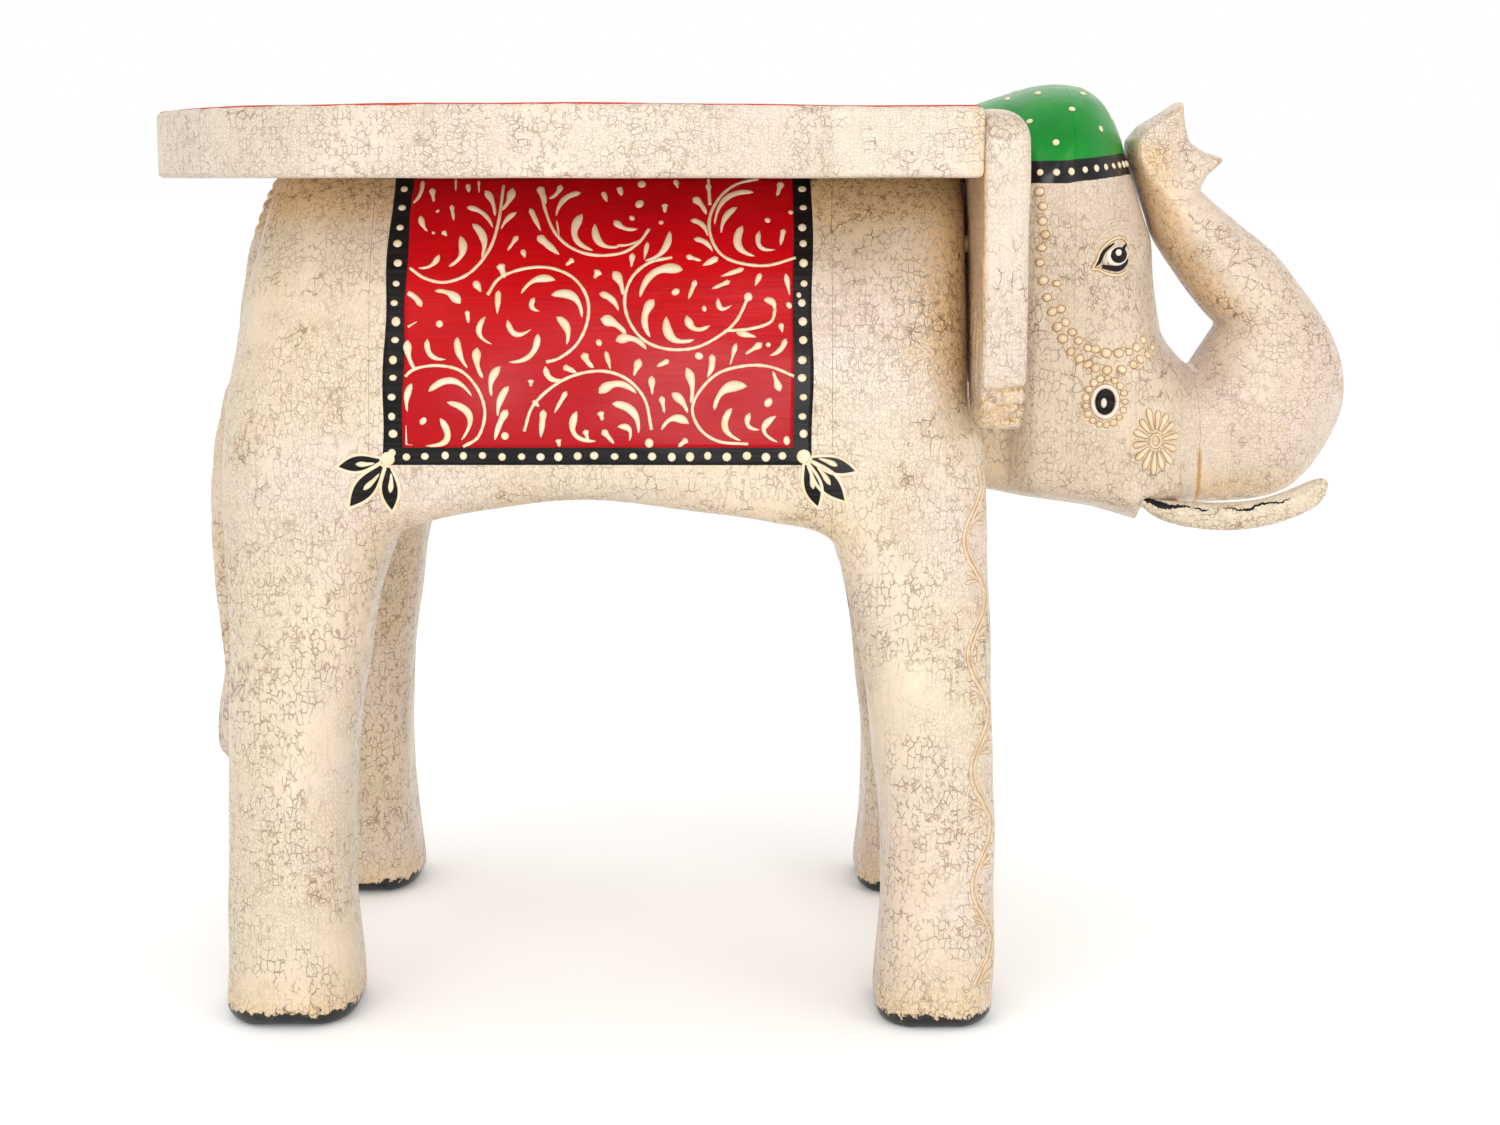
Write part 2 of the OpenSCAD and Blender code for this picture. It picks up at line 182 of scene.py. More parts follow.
def body_field(x, y, z):
    side = outline_distance(body_outline(), x, z)
    inner = np.where(z > 165, -50, along(LEG_INSIDE, z))
    across = np.maximum(np.abs(y) - along(BARREL, z), inner - np.abs(y))
    rear = LEG_R + (HAUNCH_R - LEG_R) * smoothstep(160, 195, z)
    middle = smoothstep(-130, -108, x) * (1 - smoothstep(6, 24, x))
    front = smoothstep(6, 24, x)
    radius = rear * (1 - middle) * (1 - front) + BELLY_R * middle + SHOULDER_R * front
    f = round_max(side, across, radius)
    chest = np.maximum(np.maximum(np.abs(x - 60) - (NECK_X - 60), np.abs(y) - CORE_HALF + 1), 172 - z)
    return round_max(np.minimum(f, chest), -z, SOLE_R) + hand_carved(x, y, z)


# The head and the trunk share one width and one rounding, so that they meet at their seam

HALF_WIDTHS = [
    (0, 37.6), (70, 37.6), (85.6, 37.6), (89, 40), (94, 44.5), (100, 46), (125, 46), (135, 44.8),
    (145, 41), (155, 35), (170, 29.5), (190, 25.5), (214, 22.5),
]
TRUNK_HALF_WIDTHS = [(200, 24), (230, 22), (250, 20), (275, 17.5), (290, 15.5), (310, 14.5)]
FACE = [
    (133.6, 280), (137.9, 266.8), (141.2, 257.6), (142.6, 243), (144.2, 230), (146, 224), (150.8, 218),
    (155.5, 213.8),
]
CAP = [
    (71, 303), (82, 307), (91.6, 310), (99, 312), (107.4, 312.7), (115.6, 311.3), (122, 306.6),
    (126.8, 299.3),
]
BRIM = [(129.4, 292.9), (131, 287), (133.6, 280)]
JAW = [(137.2, 163.5), (135.6, 158.8), (119, 163.6), (100, 166.8), (78, 170), (40, 173.6)]
TRUNK_OUTER = [
    (155, 164.4), (176, 164.6), (188.6, 167.6), (196.4, 173), (204.4, 182.6), (210.4, 194), (212.4, 206),
    (209.5, 219.2), (203.7, 230.4), (195.3, 242), (185.4, 253.6), (172.3, 264), (158.2, 276),
]
FORK = [
    (160.5, 280.4), (166, 285.4), (165.4, 287.4), (159, 289.5), (153.6, 292.8), (151.9, 298.5),
    (151, 306.2), (149.8, 307), (143, 302.6), (136.1, 298.2), (132.2, 293), (132, 287),
]
TRUNK_INNER = [(134.8, 280), (139.3, 266.8), (142.8, 257.6), (152.6, 243.1), (160.5, 233.2), (165.4, 228.2)]
TRUNK_RADII = [(150, 23), (214, 23), (230, 19.5), (250, 16.5), (264, 13), (274, 8), (282, 3.6), (310, 2.2)]
NOTCH_Z, LIP_Z = 213.8, 164.4


def head_width(x, z):
    low = along(HALF_WIDTHS, x)
    return low + (along(TRUNK_HALF_WIDTHS, z) - low) * smoothstep(206, 232, z) * smoothstep(150, 157, x)


def head_outline():
    root = TRUNK_SEAM + 40
    return np.vstack([
        [(40, 302)], spline(CAP), BRIM, spline(FACE),
        [(root, NOTCH_Z), (root, LIP_Z), (TRUNK_SEAM, LIP_Z)], JAW,
    ])


def jowl_radius(z):
    """How far in the rim is rounded below the mouth, shared by the head and the trunk."""
    return 9 + 14 * smoothstep(166, 190, z)


def inflated(side, y, radius, width):
    """A side view filled out to a width, with its rim rounded over a radius."""
    return (np.hypot(np.maximum(radius + side, 0) / radius, y / width) - 1) * np.minimum(radius, width)


def head_field(x, y, z):
    side = outline_distance(head_outline(), x, z)
    radius = jowl_radius(z) + 12 * smoothstep(214, 255, z)
    f = inflated(side, y, radius, head_width(x, z))
    brow = 1.1 * np.exp(-(((x - 121) / 13) ** 2) - ((z - 263.5) / 4.5) ** 2) * smoothstep(18, 34, np.abs(y))
    socket = 1.0 * np.exp(-(((x - 122) / 9) ** 2) - ((z - 253.5) / 5) ** 2) * smoothstep(18, 34, np.abs(y))
    return f - brow + socket + hand_carved(x, y, z, 0.22)


def trunk_outline():
    return np.vstack([
        [(100, LIP_Z)], spline(TRUNK_OUTER), FORK, spline(TRUNK_INNER), [(156.5, NOTCH_Z), (100, NOTCH_Z)],
    ])


def trunk_field(x, y, z):
    side = outline_distance(trunk_outline(), x, z)
    radius = along(TRUNK_RADII, z) - 23 + jowl_radius(z)
    width = head_width(x, z) + (along(TRUNK_HALF_WIDTHS, z) - head_width(x, z)) * smoothstep(222, 236, z)
    return inflated(side, y, radius, width) + hand_carved(x, y, z, 0.2)


# The ears

EAR_LOBES = [
    (112, 206.6), (105, 200.4), (97, 202), (90, 200.4), (82, 204.4), (75, 203.6), (68, 210), (61, 212.4),
    (54, 220.8), (47, 230),
]
EAR_VEINS = [
    ((108, 232), (115, 209)), ((99, 232), (97.5, 203)), ((90, 236), (82.5, 205)), ((80, 240), (68, 211)),
    ((70, 246), (54, 221)),
]
EAR_CORNER = 12
EAR_GROOVE_ZS = (212.5, 207.4, 202.6)


def ear_grooves(x, y, z):
    """1 in the three grooves that cross the low end of an ear's outer edge, and 0 away from them."""
    across = x - (NECK_X + EAR_FRONT) / 2
    wave = 0.32 * across + 0.9 * np.cos(across / 2.6)
    grooves = [np.exp(-(((z - z0 - wave) / 0.8) ** 2)) for z0 in EAR_GROOVE_ZS]
    return np.maximum.reduce(grooves) * smoothstep(101, 108, np.abs(y))


def corner_arc(u, v, radius, count):
    """The quarter turn that rounds the corner at (u, v), from above to the far side."""
    return [
        (u - radius + radius * math.cos(a), v - radius + radius * math.sin(a))
        for a in np.linspace(math.pi / 2, 0, count)
    ]


def ear_field(x, y, z):
    y = np.abs(y)
    reach = EAR_REACH - 0.2
    front = outline_distance([
        (38, SEAT_TOP), *corner_arc(reach, SEAT_TOP, EAR_CORNER, 8), (reach, 226), (116.6, 216),
        *spline(EAR_LOBES), (38.2, 243),
    ], y, z)
    thick = EAR_FRONT - NECK_X - 0.2
    middle = NECK_X + 0.1 + thick / 2
    side = outline_distance([
        (NECK_X + 0.1, 150), (NECK_X + 0.1, SEAT_TOP), *corner_arc(EAR_FRONT - 0.1, SEAT_TOP, 10, 9),
        (EAR_FRONT - 0.1, 150),
    ], x, z)
    f = round_max(front, side, 2.2)
    for a, b in EAR_VEINS:
        near = segment_distance(a, b, y, z)
        f = f + 1.5 * np.exp(-((near / 1.3) ** 2)) * smoothstep(0, 4, np.abs(x - middle) + 2)
    f = f + 1.1 * ear_grooves(x, y, z)
    border = np.exp(-(((front + 6.5) / 0.8) ** 2)) * smoothstep(EAR_FRONT - 3, EAR_FRONT - 1, x)
    return f + 0.7 * border * smoothstep(SEAT_TOP - 3, SEAT_TOP - 12, z) + hand_carved(x, y, z, 0.18)


# Meshes from points


def new_object(name, points, faces, materials, smooth=True):
    mesh = bpy.data.meshes.new(name)
    mesh.from_pydata((np.asarray(points, float) * MM).tolist(), [], [list(map(int, f)) for f in faces])
    mesh.polygons.foreach_set("use_smooth", [smooth] * len(mesh.polygons))
    for m in materials:
        mesh.materials.append(m)
    mesh.update()
    piece = bpy.data.objects.new(name, mesh)
    bpy.context.scene.collection.objects.link(piece)
    return piece


def bands(rings, count):
    """The quads between closed rings of points, each with the same count."""
    return [
        (i * count + j, i * count + (j + 1) % count, (i + 1) * count + (j + 1) % count, (i + 1) * count + j)
        for i in range(rings - 1) for j in range(count)
    ]


def mesh_of(points, quads):
    bm = bmesh.new()
    verts = [bm.verts.new(p) for p in (points * MM).tolist()]
    for q in quads.tolist():
        bm.faces.new([verts[i] for i in q])
    for f in bm.faces:
        f.smooth = True
    return bm


def cut(bm, place, normal, only=None):
    """Cuts away what lies behind a plane, and closes the cut flat. only(v) picks the part to cut."""
    geom = [*bm.verts, *bm.edges, *bm.faces]
    if only:
        kept = {v for v in bm.verts if only(v.co / MM)}
        geom = [*kept, *(g for g in [*bm.edges, *bm.faces] if kept.issuperset(g.verts))]
    bmesh.ops.bisect_plane(
        bm, geom=geom, plane_co=Vector(place) * MM, plane_no=normal, clear_inner=True, dist=1e-7
    )
    rim = [e for e in bm.edges if e.is_boundary]
    for e in rim:
        e.smooth = False
    new = bmesh.ops.triangle_fill(
        bm, edges=rim, normal=-Vector(normal), use_beauty=False, use_dissolve=False
    )
    for g in new["geom"]:
        if isinstance(g, bmesh.types.BMFace):
            g.smooth = False
    bmesh.ops.recalc_face_normals(bm, faces=bm.faces)


def finish_mesh(bm, name, materials, shade_and_stain=None):
    mesh = bpy.data.meshes.new(name)
    bm.to_mesh(mesh)
    bm.free()
    for m in materials:
        mesh.materials.append(m)
    piece = bpy.data.objects.new(name, mesh)
    bpy.context.scene.collection.objects.link(piece)
    if shade_and_stain:
        set_shade_and_stain(piece, shade_and_stain)
    return piece


def set_shade_and_stain(piece, shade_and_stain):
    """Stores how much painted shade and stain each point has, from 0 to 1, where the material reads it."""
    mesh = piece.data
    co = np.empty(len(mesh.vertices) * 3)
    mesh.vertices.foreach_get("co", co)
    x, y, z = co.reshape(-1, 3).T / MM
    layer = mesh.attributes.new("shade_and_stain", "FLOAT", "POINT")
    layer.data.foreach_set("value", np.clip(shade_and_stain(x, y, z), 0, 1).astype(np.float32))


def stand_for(piece, slot, *nodes):
    """A piece of the whole, riding on the one body. slot is not used."""
    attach(piece, "root")
    if nodes:
        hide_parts(*nodes)


# Materials


class Tree:
    """Builds a material's nodes around its Principled shader."""

    def __init__(self, name):
        self.material = bpy.data.materials.new(name)
        self.material.use_nodes = True
        self.nodes = self.material.node_tree.nodes
        self.links = self.material.node_tree.links
        self.shader = self.nodes["Principled BSDF"]
        self.place = self.add("ShaderNodeTexCoord").outputs["Object"]

    def add(self, kind, values=None, **settings):
        node = self.nodes.new(kind)
        for key, value in settings.items():
            setattr(node, key, value)
        for key, value in (values or {}).items():
            self.put(node.inputs[key], value)
        return node

    def put(self, socket, value):
        if isinstance(value, bpy.types.NodeSocket):
            self.links.new(value, socket)
        else:
            socket.default_value = value

    def shade(self, name, value):
        """Sets one of the shader's own sockets to a value, or links it."""
        self.put(self.shader.inputs[name], value)

    def vector(self, operation, a, b):
        second = "Scale" if operation == "SCALE" else 1
        return self.add("ShaderNodeVectorMath", {0: a, second: b}, operation=operation).outputs[0]

    def stretched(self, scale, wobble=0.0, wobble_scale=60.0):
        """Coordinates scaled along each axis, and shaken by noise."""
        place = self.place
        if wobble:
            noise = self.add("ShaderNodeTexNoise", {"Vector": place, "Scale": wobble_scale, "Detail": 3.0})
            shake = self.vector("SUBTRACT", noise.outputs["Color"], (0.5, 0.5, 0.5))
            place = self.vector("ADD", place, self.vector("SCALE", shake, wobble))
        return self.vector("MULTIPLY", place, scale)

    def noise(self, scale, detail=4.0, vector=None, roughness=0.55):
        return self.add(
            "ShaderNodeTexNoise",
            {"Vector": vector or self.place, "Scale": scale, "Detail": detail, "Roughness": roughness},
        ).outputs["Fac"]

    def sway(self, scale, detail, size, roughness=0.55):
        """Noise on both sides of zero, over a range as wide as size."""
        return self.times(self.less(self.noise(scale, detail, roughness=roughness), 0.5), size)

    def math(self, operation, a, b=0.0, clamp=False):
        return self.add("ShaderNodeMath", {0: a, 1: b}, operation=operation, use_clamp=clamp).outputs[0]

    def plus(self, a, b, clamp=False):
        return self.math("ADD", a, b, clamp)

    def less(self, a, b):
        return self.math("SUBTRACT", a, b)

    def times(self, *values):
        product = values[0]
        for value in values[1:]:
            product = self.math("MULTIPLY", product, value)
        return product

    def ramp(self, value, low, high):
        """0 below low and 1 above high. low may be the larger, which turns it round."""
        return self.add(
            "ShaderNodeMapRange", {"Value": value, "From Min": low, "From Max": high},
            interpolation_type="SMOOTHSTEP",
        ).outputs["Result"]

    def patches(self, scale, detail, low, high, roughness=0.55):
        """0 and 1 in patches, as noise falls below low or rises above high."""
        return self.ramp(self.noise(scale, detail, roughness=roughness), low, high)

    def mix(self, share, a, b):
        return self.add("ShaderNodeMix", {0: share, 6: a, 7: b}, data_type="RGBA").outputs[2]

    def axis(self, name):
        return self.add("ShaderNodeSeparateXYZ", {0: self.place}).outputs[name]

    def net(self, vector, scale, wide, sharp):
        """1 on the lines of a net of cells, falling to 0 beside them, over shares of a cell."""
        edge = self.add(
            "ShaderNodeTexVoronoi", {"Vector": vector, "Scale": scale, "Randomness": 0.72},
            feature="DISTANCE_TO_EDGE",
        ).outputs["Distance"]
        return self.ramp(edge, wide, sharp)

    def bump(self, height, distance, strength=1.0, under=None):
        values = {"Height": height, "Distance": distance, "Strength": strength}
        if under:
            values["Normal"] = under
        return self.add("ShaderNodeBump", values).outputs["Normal"]


def rgb(r, g, b):
    """A colour as seen on a screen, from 0 to 255, in the linear light that shaders use."""
    def linear(c):
        c /= 255
        return c / 12.92 if c <= 0.04045 else ((c + 0.055) / 1.055) ** 2.4
    return (linear(r), linear(g), linear(b), 1.0)


CREAM, PINK, OCHRE, PALE = rgb(212, 196, 170), rgb(215, 198, 183), rgb(196, 169, 128), rgb(217, 203, 188)
# The ears' tone is painted shade: a darker cream for ears that face the lamps.
FACE_TONE, TRUNK_TONE, EAR_SHADE_TONE = rgb(207, 187, 168), rgb(213, 190, 170), rgb(206, 190, 176)
# The second brown here is stain and painted shade in hollows and under the seat, and also the colour of
# chips.
CRACK, SHADE_AND_STAIN_BROWN = rgb(104, 62, 28), rgb(226, 186, 128)
SPECK, FILLER = rgb(104, 62, 26), rgb(190, 140, 76)
RED, DEEP_RED, HEM_SHADE_RED = rgb(188, 0, 12), rgb(168, 0, 10), rgb(158, 0, 8)
ORANGE, DARK_ORANGE = rgb(198, 54, 20), rgb(182, 42, 18)
GREEN, DEEP_GREEN = rgb(0, 130, 36), rgb(0, 116, 32)
BLACK, GREY_BLACK = rgb(12, 10, 10), rgb(34, 30, 30)
WOOD, DARK_WOOD, STEEL_DARK, STEEL_LIGHT = (
    rgb(205, 168, 120), rgb(158, 112, 68), rgb(150, 152, 156), rgb(196, 197, 200),
)


def crack_nets(tree, upright):
    """Three nets of cracks: a hair-thin one, a fine one and a wide one, each broken here and there."""
    place = tree.stretched((1.15, 1.15, 0.66) if upright else (1.0, 1.0, 1.1), 0.0026, 330.0)
    hair = tree.times(tree.net(place, 820.0, 0.07, 0.02), tree.patches(30.0, 3.0, 0.3, 0.56), 0.4)
    fine = tree.times(tree.net(place, 430.0, 0.066, 0.026), tree.patches(40.0, 3.0, 0.3, 0.55))
    on_legs = tree.times(tree.ramp(tree.axis("Z"), 0.19, 0.12), 0.2)
    fine = tree.times(fine, tree.patches(300.0, 3.0, 0.4, 0.54), tree.plus(on_legs, 0.7))
    wide = tree.times(tree.net(place, 270.0, 0.045, 0.02), tree.patches(34.0, 3.0, 0.46, 0.6))
    wide = tree.times(wide, tree.patches(150.0, 3.0, 0.45, 0.56))
    return tree.math("MAXIMUM", tree.math("MAXIMUM", hair, fine), wide)


def shaded_and_stained(tree, base, shade_and_stain):
    """Brown rubbed in as stain, with painted shade, where the piece's own mask says, with dark specks in
    it, and chips anywhere.
    """
    # Noise that makes the painted shade and stain patchy.
    patchiness = tree.sway(420.0, 6.0, 1.2, 0.75)
    spread = tree.plus(tree.times(shade_and_stain, 0.9), patchiness)
    shade_and_soil = tree.times(tree.ramp(spread, 0.08, 0.8), tree.ramp(shade_and_stain, 0.0, 0.3))
    # Painted shade with brown stain, where the mask is high.
    base = tree.mix(tree.times(shade_and_soil, 0.75), base, SHADE_AND_STAIN_BROWN)
    specks = tree.times(tree.patches(500.0, 5.0, 0.53, 0.6, 0.85), tree.ramp(shade_and_stain, 0.1, 0.9))
    base = tree.mix(tree.times(specks, 0.66), base, SPECK)
    chips = tree.times(tree.patches(230.0, 3.0, 0.69, 0.72, 0.6), tree.patches(21.0, 2.0, 0.48, 0.62))
    return tree.mix(tree.times(chips, 0.7), base, SHADE_AND_STAIN_BROWN)


def filled_seam(tree, base, x, top):
    """A ragged line of filler up the seam at x, as high as top."""
    away = tree.math("ABSOLUTE", tree.less(tree.axis("X"), x * MM))
    line = tree.ramp(tree.plus(away, tree.sway(500.0, 4.0, 0.0016)), 0.0011, 0.0006)
    below = tree.ramp(tree.axis("Z"), top * MM, (top - 4) * MM)
    return tree.mix(tree.times(line, below, 0.8), base, FILLER)


def crackled(tree, upright=False, seam=None, pale=0.0, tone=None):
    """Cream paint with its cracks, patches, stains and painted shade: a colour, a crack mask and the grain.
    Where a tone is given, it is painted lighter low down.
    """
    cracks = crack_nets(tree, upright)
    grain = tree.noise(1.0, 5.0, tree.stretched((900.0, 900.0, 70.0)))
    base = tree.mix(tree.patches(14.0, 3.0, 0.42, 0.7), CREAM, PINK)
    base = tree.mix(tree.times(tree.patches(17.0, 4.0, 0.46, 0.72, 0.65), 0.5 * (1 - pale)), base, OCHRE)
    if tone:
        # Below about 0.2 m the darker tone falls to half its share, so the jaw and the low trunk and ears
        # are painted lighter: painted light.
        low = tree.ramp(tree.axis("Z"), 0.225, 0.19)
        base = tree.mix(tree.less(pale, tree.times(low, 0.5 * pale)), base, tone)
    # The stored mask is painted shade in hollows, under the seat and between parts, together with brown
    # stain.
    shade_and_stain = tree.add("ShaderNodeAttribute", attribute_name="shade_and_stain").outputs["Fac"]
    base = shaded_and_stained(tree, base, shade_and_stain)
    base = tree.mix(tree.times(tree.ramp(grain, 0.5, 0.72), 0.13), base, CRACK)
    if seam:
        base = filled_seam(tree, base, *seam)
    # Cracks darken further where the mask puts painted shade and stain.
    depth = tree.plus(tree.times(shade_and_stain, 0.2), 0.66)
    return tree.mix(tree.math("MULTIPLY", cracks, depth, clamp=True), base, CRACK), cracks, grain


def varnish(tree, cracks, grain, roughness=0.34, dull=0.0):
    """The gloss over the crackle: cracks stand open, and the grain shows faintly."""
    rough = tree.plus(tree.plus(tree.times(tree.noise(70.0, 4.0), 0.22), roughness - 0.11), dull)
    tree.shade("Roughness", tree.plus(rough, tree.times(cracks, 0.3), clamp=True))
    tree.shade("Coat Weight", 0.12)
    tree.shade("Coat Roughness", 0.16)
    lumps = tree.bump(tree.noise(120.0, 3.0), 0.0006, 0.5)
    ridges = tree.bump(grain, 0.00016, 0.6, lumps)
    tree.shade("Normal", tree.bump(tree.less(1.0, cracks), 0.00022, 0.9, ridges))


def crackle_material(name, upright=False, seam=None, pale=0.0, tone=None):
    """Crackled cream, with a ragged black edge round the soles where it comes down to the floor."""
    tree = Tree(name)
    colour, cracks, grain = crackled(tree, upright, seam, pale, tone)
    if upright:
        edge = tree.plus(tree.axis("Z"), tree.sway(240.0, 6.0, 0.0125, 0.7))
        tarred = tree.ramp(edge, 0.0054, 0.0049)
        colour = tree.mix(tarred, colour, BLACK)
        cracks = tree.times(cracks, tree.less(1.0, tarred))
    tree.shade("Base Color", colour)
    varnish(tree, cracks, grain)
    return tree.material


def seat_material():
    """Crackled cream round the rim, and duller orange-red above a wandering line."""
    tree = Tree("seat_paint")
    colour, cracks, grain = crackled(tree, pale=0.6, tone=PALE)
    height = tree.plus(tree.axis("Z"), tree.sway(60.0, 5.0, 0.0014))
    top = tree.ramp(height, (SEAT_TOP - 0.2) * MM, SEAT_TOP * MM)
    brushed = tree.noise(1.0, 4.0, tree.stretched((60.0, 900.0, 60.0)))
    paint = tree.mix(tree.ramp(brushed, 0.35, 0.7), ORANGE, DARK_ORANGE)
    tree.shade("Base Color", tree.mix(top, colour, paint))
    varnish(tree, tree.times(cracks, tree.less(1.0, top)), grain, dull=tree.times(top, 0.28))
    tree.shade("Coat Weight", 0.02)
    tree.shade("Specular IOR Level", 0.28)
    return tree.material


def head_material():
    """Crackled cream, with the green cap and its black band above a wavering line."""
    tree = Tree("head_paint")
    colour, cracks, grain = crackled(tree, True, (TRUNK_SEAM, 188), 0.65, FACE_TONE)
    tilt = tree.times(tree.math("MAXIMUM", tree.less(tree.axis("X"), 0.105), 0.0), BAND_TILT)
    height = tree.less(tree.plus(tree.axis("Z"), tree.sway(90.0, 4.0, 0.0011)), tilt)
    band = tree.ramp(height, BAND_LOW * MM, (BAND_LOW + 0.25) * MM)
    cap = tree.ramp(height, BAND_HIGH * MM, (BAND_HIGH + 0.25) * MM)
    green = tree.mix(tree.patches(60.0, 4.0, 0.35, 0.7), GREEN, DEEP_GREEN)
    tree.shade("Base Color", tree.mix(cap, tree.mix(band, colour, BLACK), green))
    bare = tree.less(1.0, band)
    varnish(tree, tree.times(cracks, bare), tree.times(grain, bare), 0.3)
    tree.shade("Specular IOR Level", 0.2)
    return tree.material


def gloss_material(name, colour, second, roughness, low=None):
    """Gloss paint with its brush marks. low is a darker colour that it deepens to near the cloth's hem, as
    painted shade.
    """
    tree = Tree(name)
    brushed = tree.noise(1.0, 4.0, tree.stretched((45.0, 45.0, 900.0)))
    blotch = tree.noise(45.0, 4.0)
    mixed = tree.mix(tree.ramp(brushed, 0.42, 0.72), colour, second)
    mixed = tree.mix(tree.times(tree.ramp(blotch, 0.45, 0.75), 0.35), mixed, second)
    if low:
        # Painted shade: the red is darker towards the hem.
        mixed = tree.mix(tree.times(tree.ramp(tree.axis("Z"), 0.245, 0.2), 0.75), mixed, low)
    tree.shade("Base Color", mixed)
    tree.shade("Roughness", tree.plus(tree.times(brushed, 0.2), roughness - 0.08))
    tree.shade("Coat Weight", 0.05)
    tree.shade("Coat Roughness", 0.12)
    tree.shade("Specular IOR Level", 0.12)
    tree.shade("Normal", tree.bump(brushed, 0.00012, 0.7, tree.bump(blotch, 0.0005, 0.4)))
    return tree.material


def slip_material(name, light, dark):
    """The raised slip of the scrolls, dots and beads."""
    tree = Tree(name)
    tree.shade("Base Color", tree.mix(tree.patches(240.0, 4.0, 0.4, 0.7), light, dark))
    tree.shade("Roughness", tree.plus(tree.times(tree.noise(300.0, 3.0), 0.3), 0.25))
    tree.shade("Normal", tree.bump(tree.noise(900.0, 4.0), 0.0002, 0.6))
    return tree.material


def wood_material():
    """Bare sawn wood, inside the body."""
    tree = Tree("bare_wood")
    rings = tree.noise(1.0, 6.0, tree.stretched((12.0, 160.0, 160.0), 0.01, 20.0))
    tree.shade("Base Color", tree.mix(tree.ramp(rings, 0.3, 0.7), WOOD, DARK_WOOD))
    tree.shade("Roughness", tree.plus(tree.times(rings, 0.2), 0.55))
    tree.shade("Normal", tree.bump(rings, 0.0003, 0.6))
    return tree.material


def steel_material():
    tree = Tree("screw_steel")
    brushed = tree.noise(1.0, 4.0, tree.stretched((900.0, 900.0, 90.0)))
    tree.shade("Base Color", tree.mix(brushed, STEEL_DARK, STEEL_LIGHT))
    tree.shade("Metallic", 1.0)
    tree.shade("Roughness", tree.plus(tree.times(brushed, 0.3), 0.2))
    return tree.material


BAND_LOW, BAND_HIGH, BAND_TILT = 278.0, 285.6, 0.12
LEG_PAINT = crackle_material("leg_paint", upright=True)
HEAD_PAINT = head_material()
# The ears' paint is a darker copy of the cream, painted shade.
EAR_SHADED_PAINT = crackle_material("ear_shaded_paint", upright=True, pale=0.6, tone=EAR_SHADE_TONE)
TRUNK_PAINT = crackle_material("trunk_paint", seam=(TRUNK_SEAM, 188), pale=0.5, tone=TRUNK_TONE)
TUSK_PAINT = crackle_material("tusk_paint")
SEAT_PAINT = seat_material()
RED_PAINT = gloss_material("red_gloss", RED, DEEP_RED, 0.28, HEM_SHADE_RED)
BLACK_PAINT = gloss_material("black_gloss", BLACK, GREY_BLACK, 0.3)
SLIP_PAINT = slip_material("slip", rgb(224, 208, 180), rgb(220, 197, 154))
PEARL_PAINT = slip_material("pearl_slip", rgb(220, 201, 168), rgb(206, 179, 138))
VINE_PAINT = slip_material("vine_slip", rgb(212, 191, 162), rgb(198, 170, 134))
OUTLINE_PAINT = slip_material("outline", rgb(164, 128, 86), rgb(134, 94, 54))
VINE_LINE_PAINT = slip_material("vine_outline", rgb(180, 148, 110), rgb(162, 128, 90))
WHITE_PAINT = slip_material("eye_white", rgb(226, 213, 200), rgb(218, 200, 186))
BARE_WOOD = wood_material()
STEEL = steel_material()


# Paint laid on a surface


class Skin:
    """A surface that strokes, dots and sheets of paint are laid on, by casting along a direction."""

    def __init__(self, points, quads):
        self.tree = BVHTree.FromPolygons(points.tolist(), quads.tolist())

    def at(self, start, direction):
        """The point on the surface and its outward normal, or None where there is no surface."""
        place, normal, _, _ = self.tree.ray_cast(Vector(start), Vector(direction).normalized(), 400)
        if place is None:
            return None
        return np.array(place), np.array(normal if normal.dot(Vector(direction)) < 0 else -normal)

    def side(self, x, z, hand):
        return self.at((x, 200 * hand, z), (0, -hand, 0))


# Across a stroke: share of its width, depth below the surface in millimetres, and share of its height
STROKE_PROFILE = [
    (-0.5, -0.12, 0), (-0.46, 0, 0.3), (-0.27, 0, 0.82), (0, 0, 1), (0.27, 0, 0.82), (0.46, 0, 0.3),
    (0.5, -0.12, 0),
]
# Up a dot: share of its radius and share of its height
DOT_PROFILE = [(1.0, -0.12), (0.97, 0.08), (0.8, 0.3), (0.45, 0.46)]


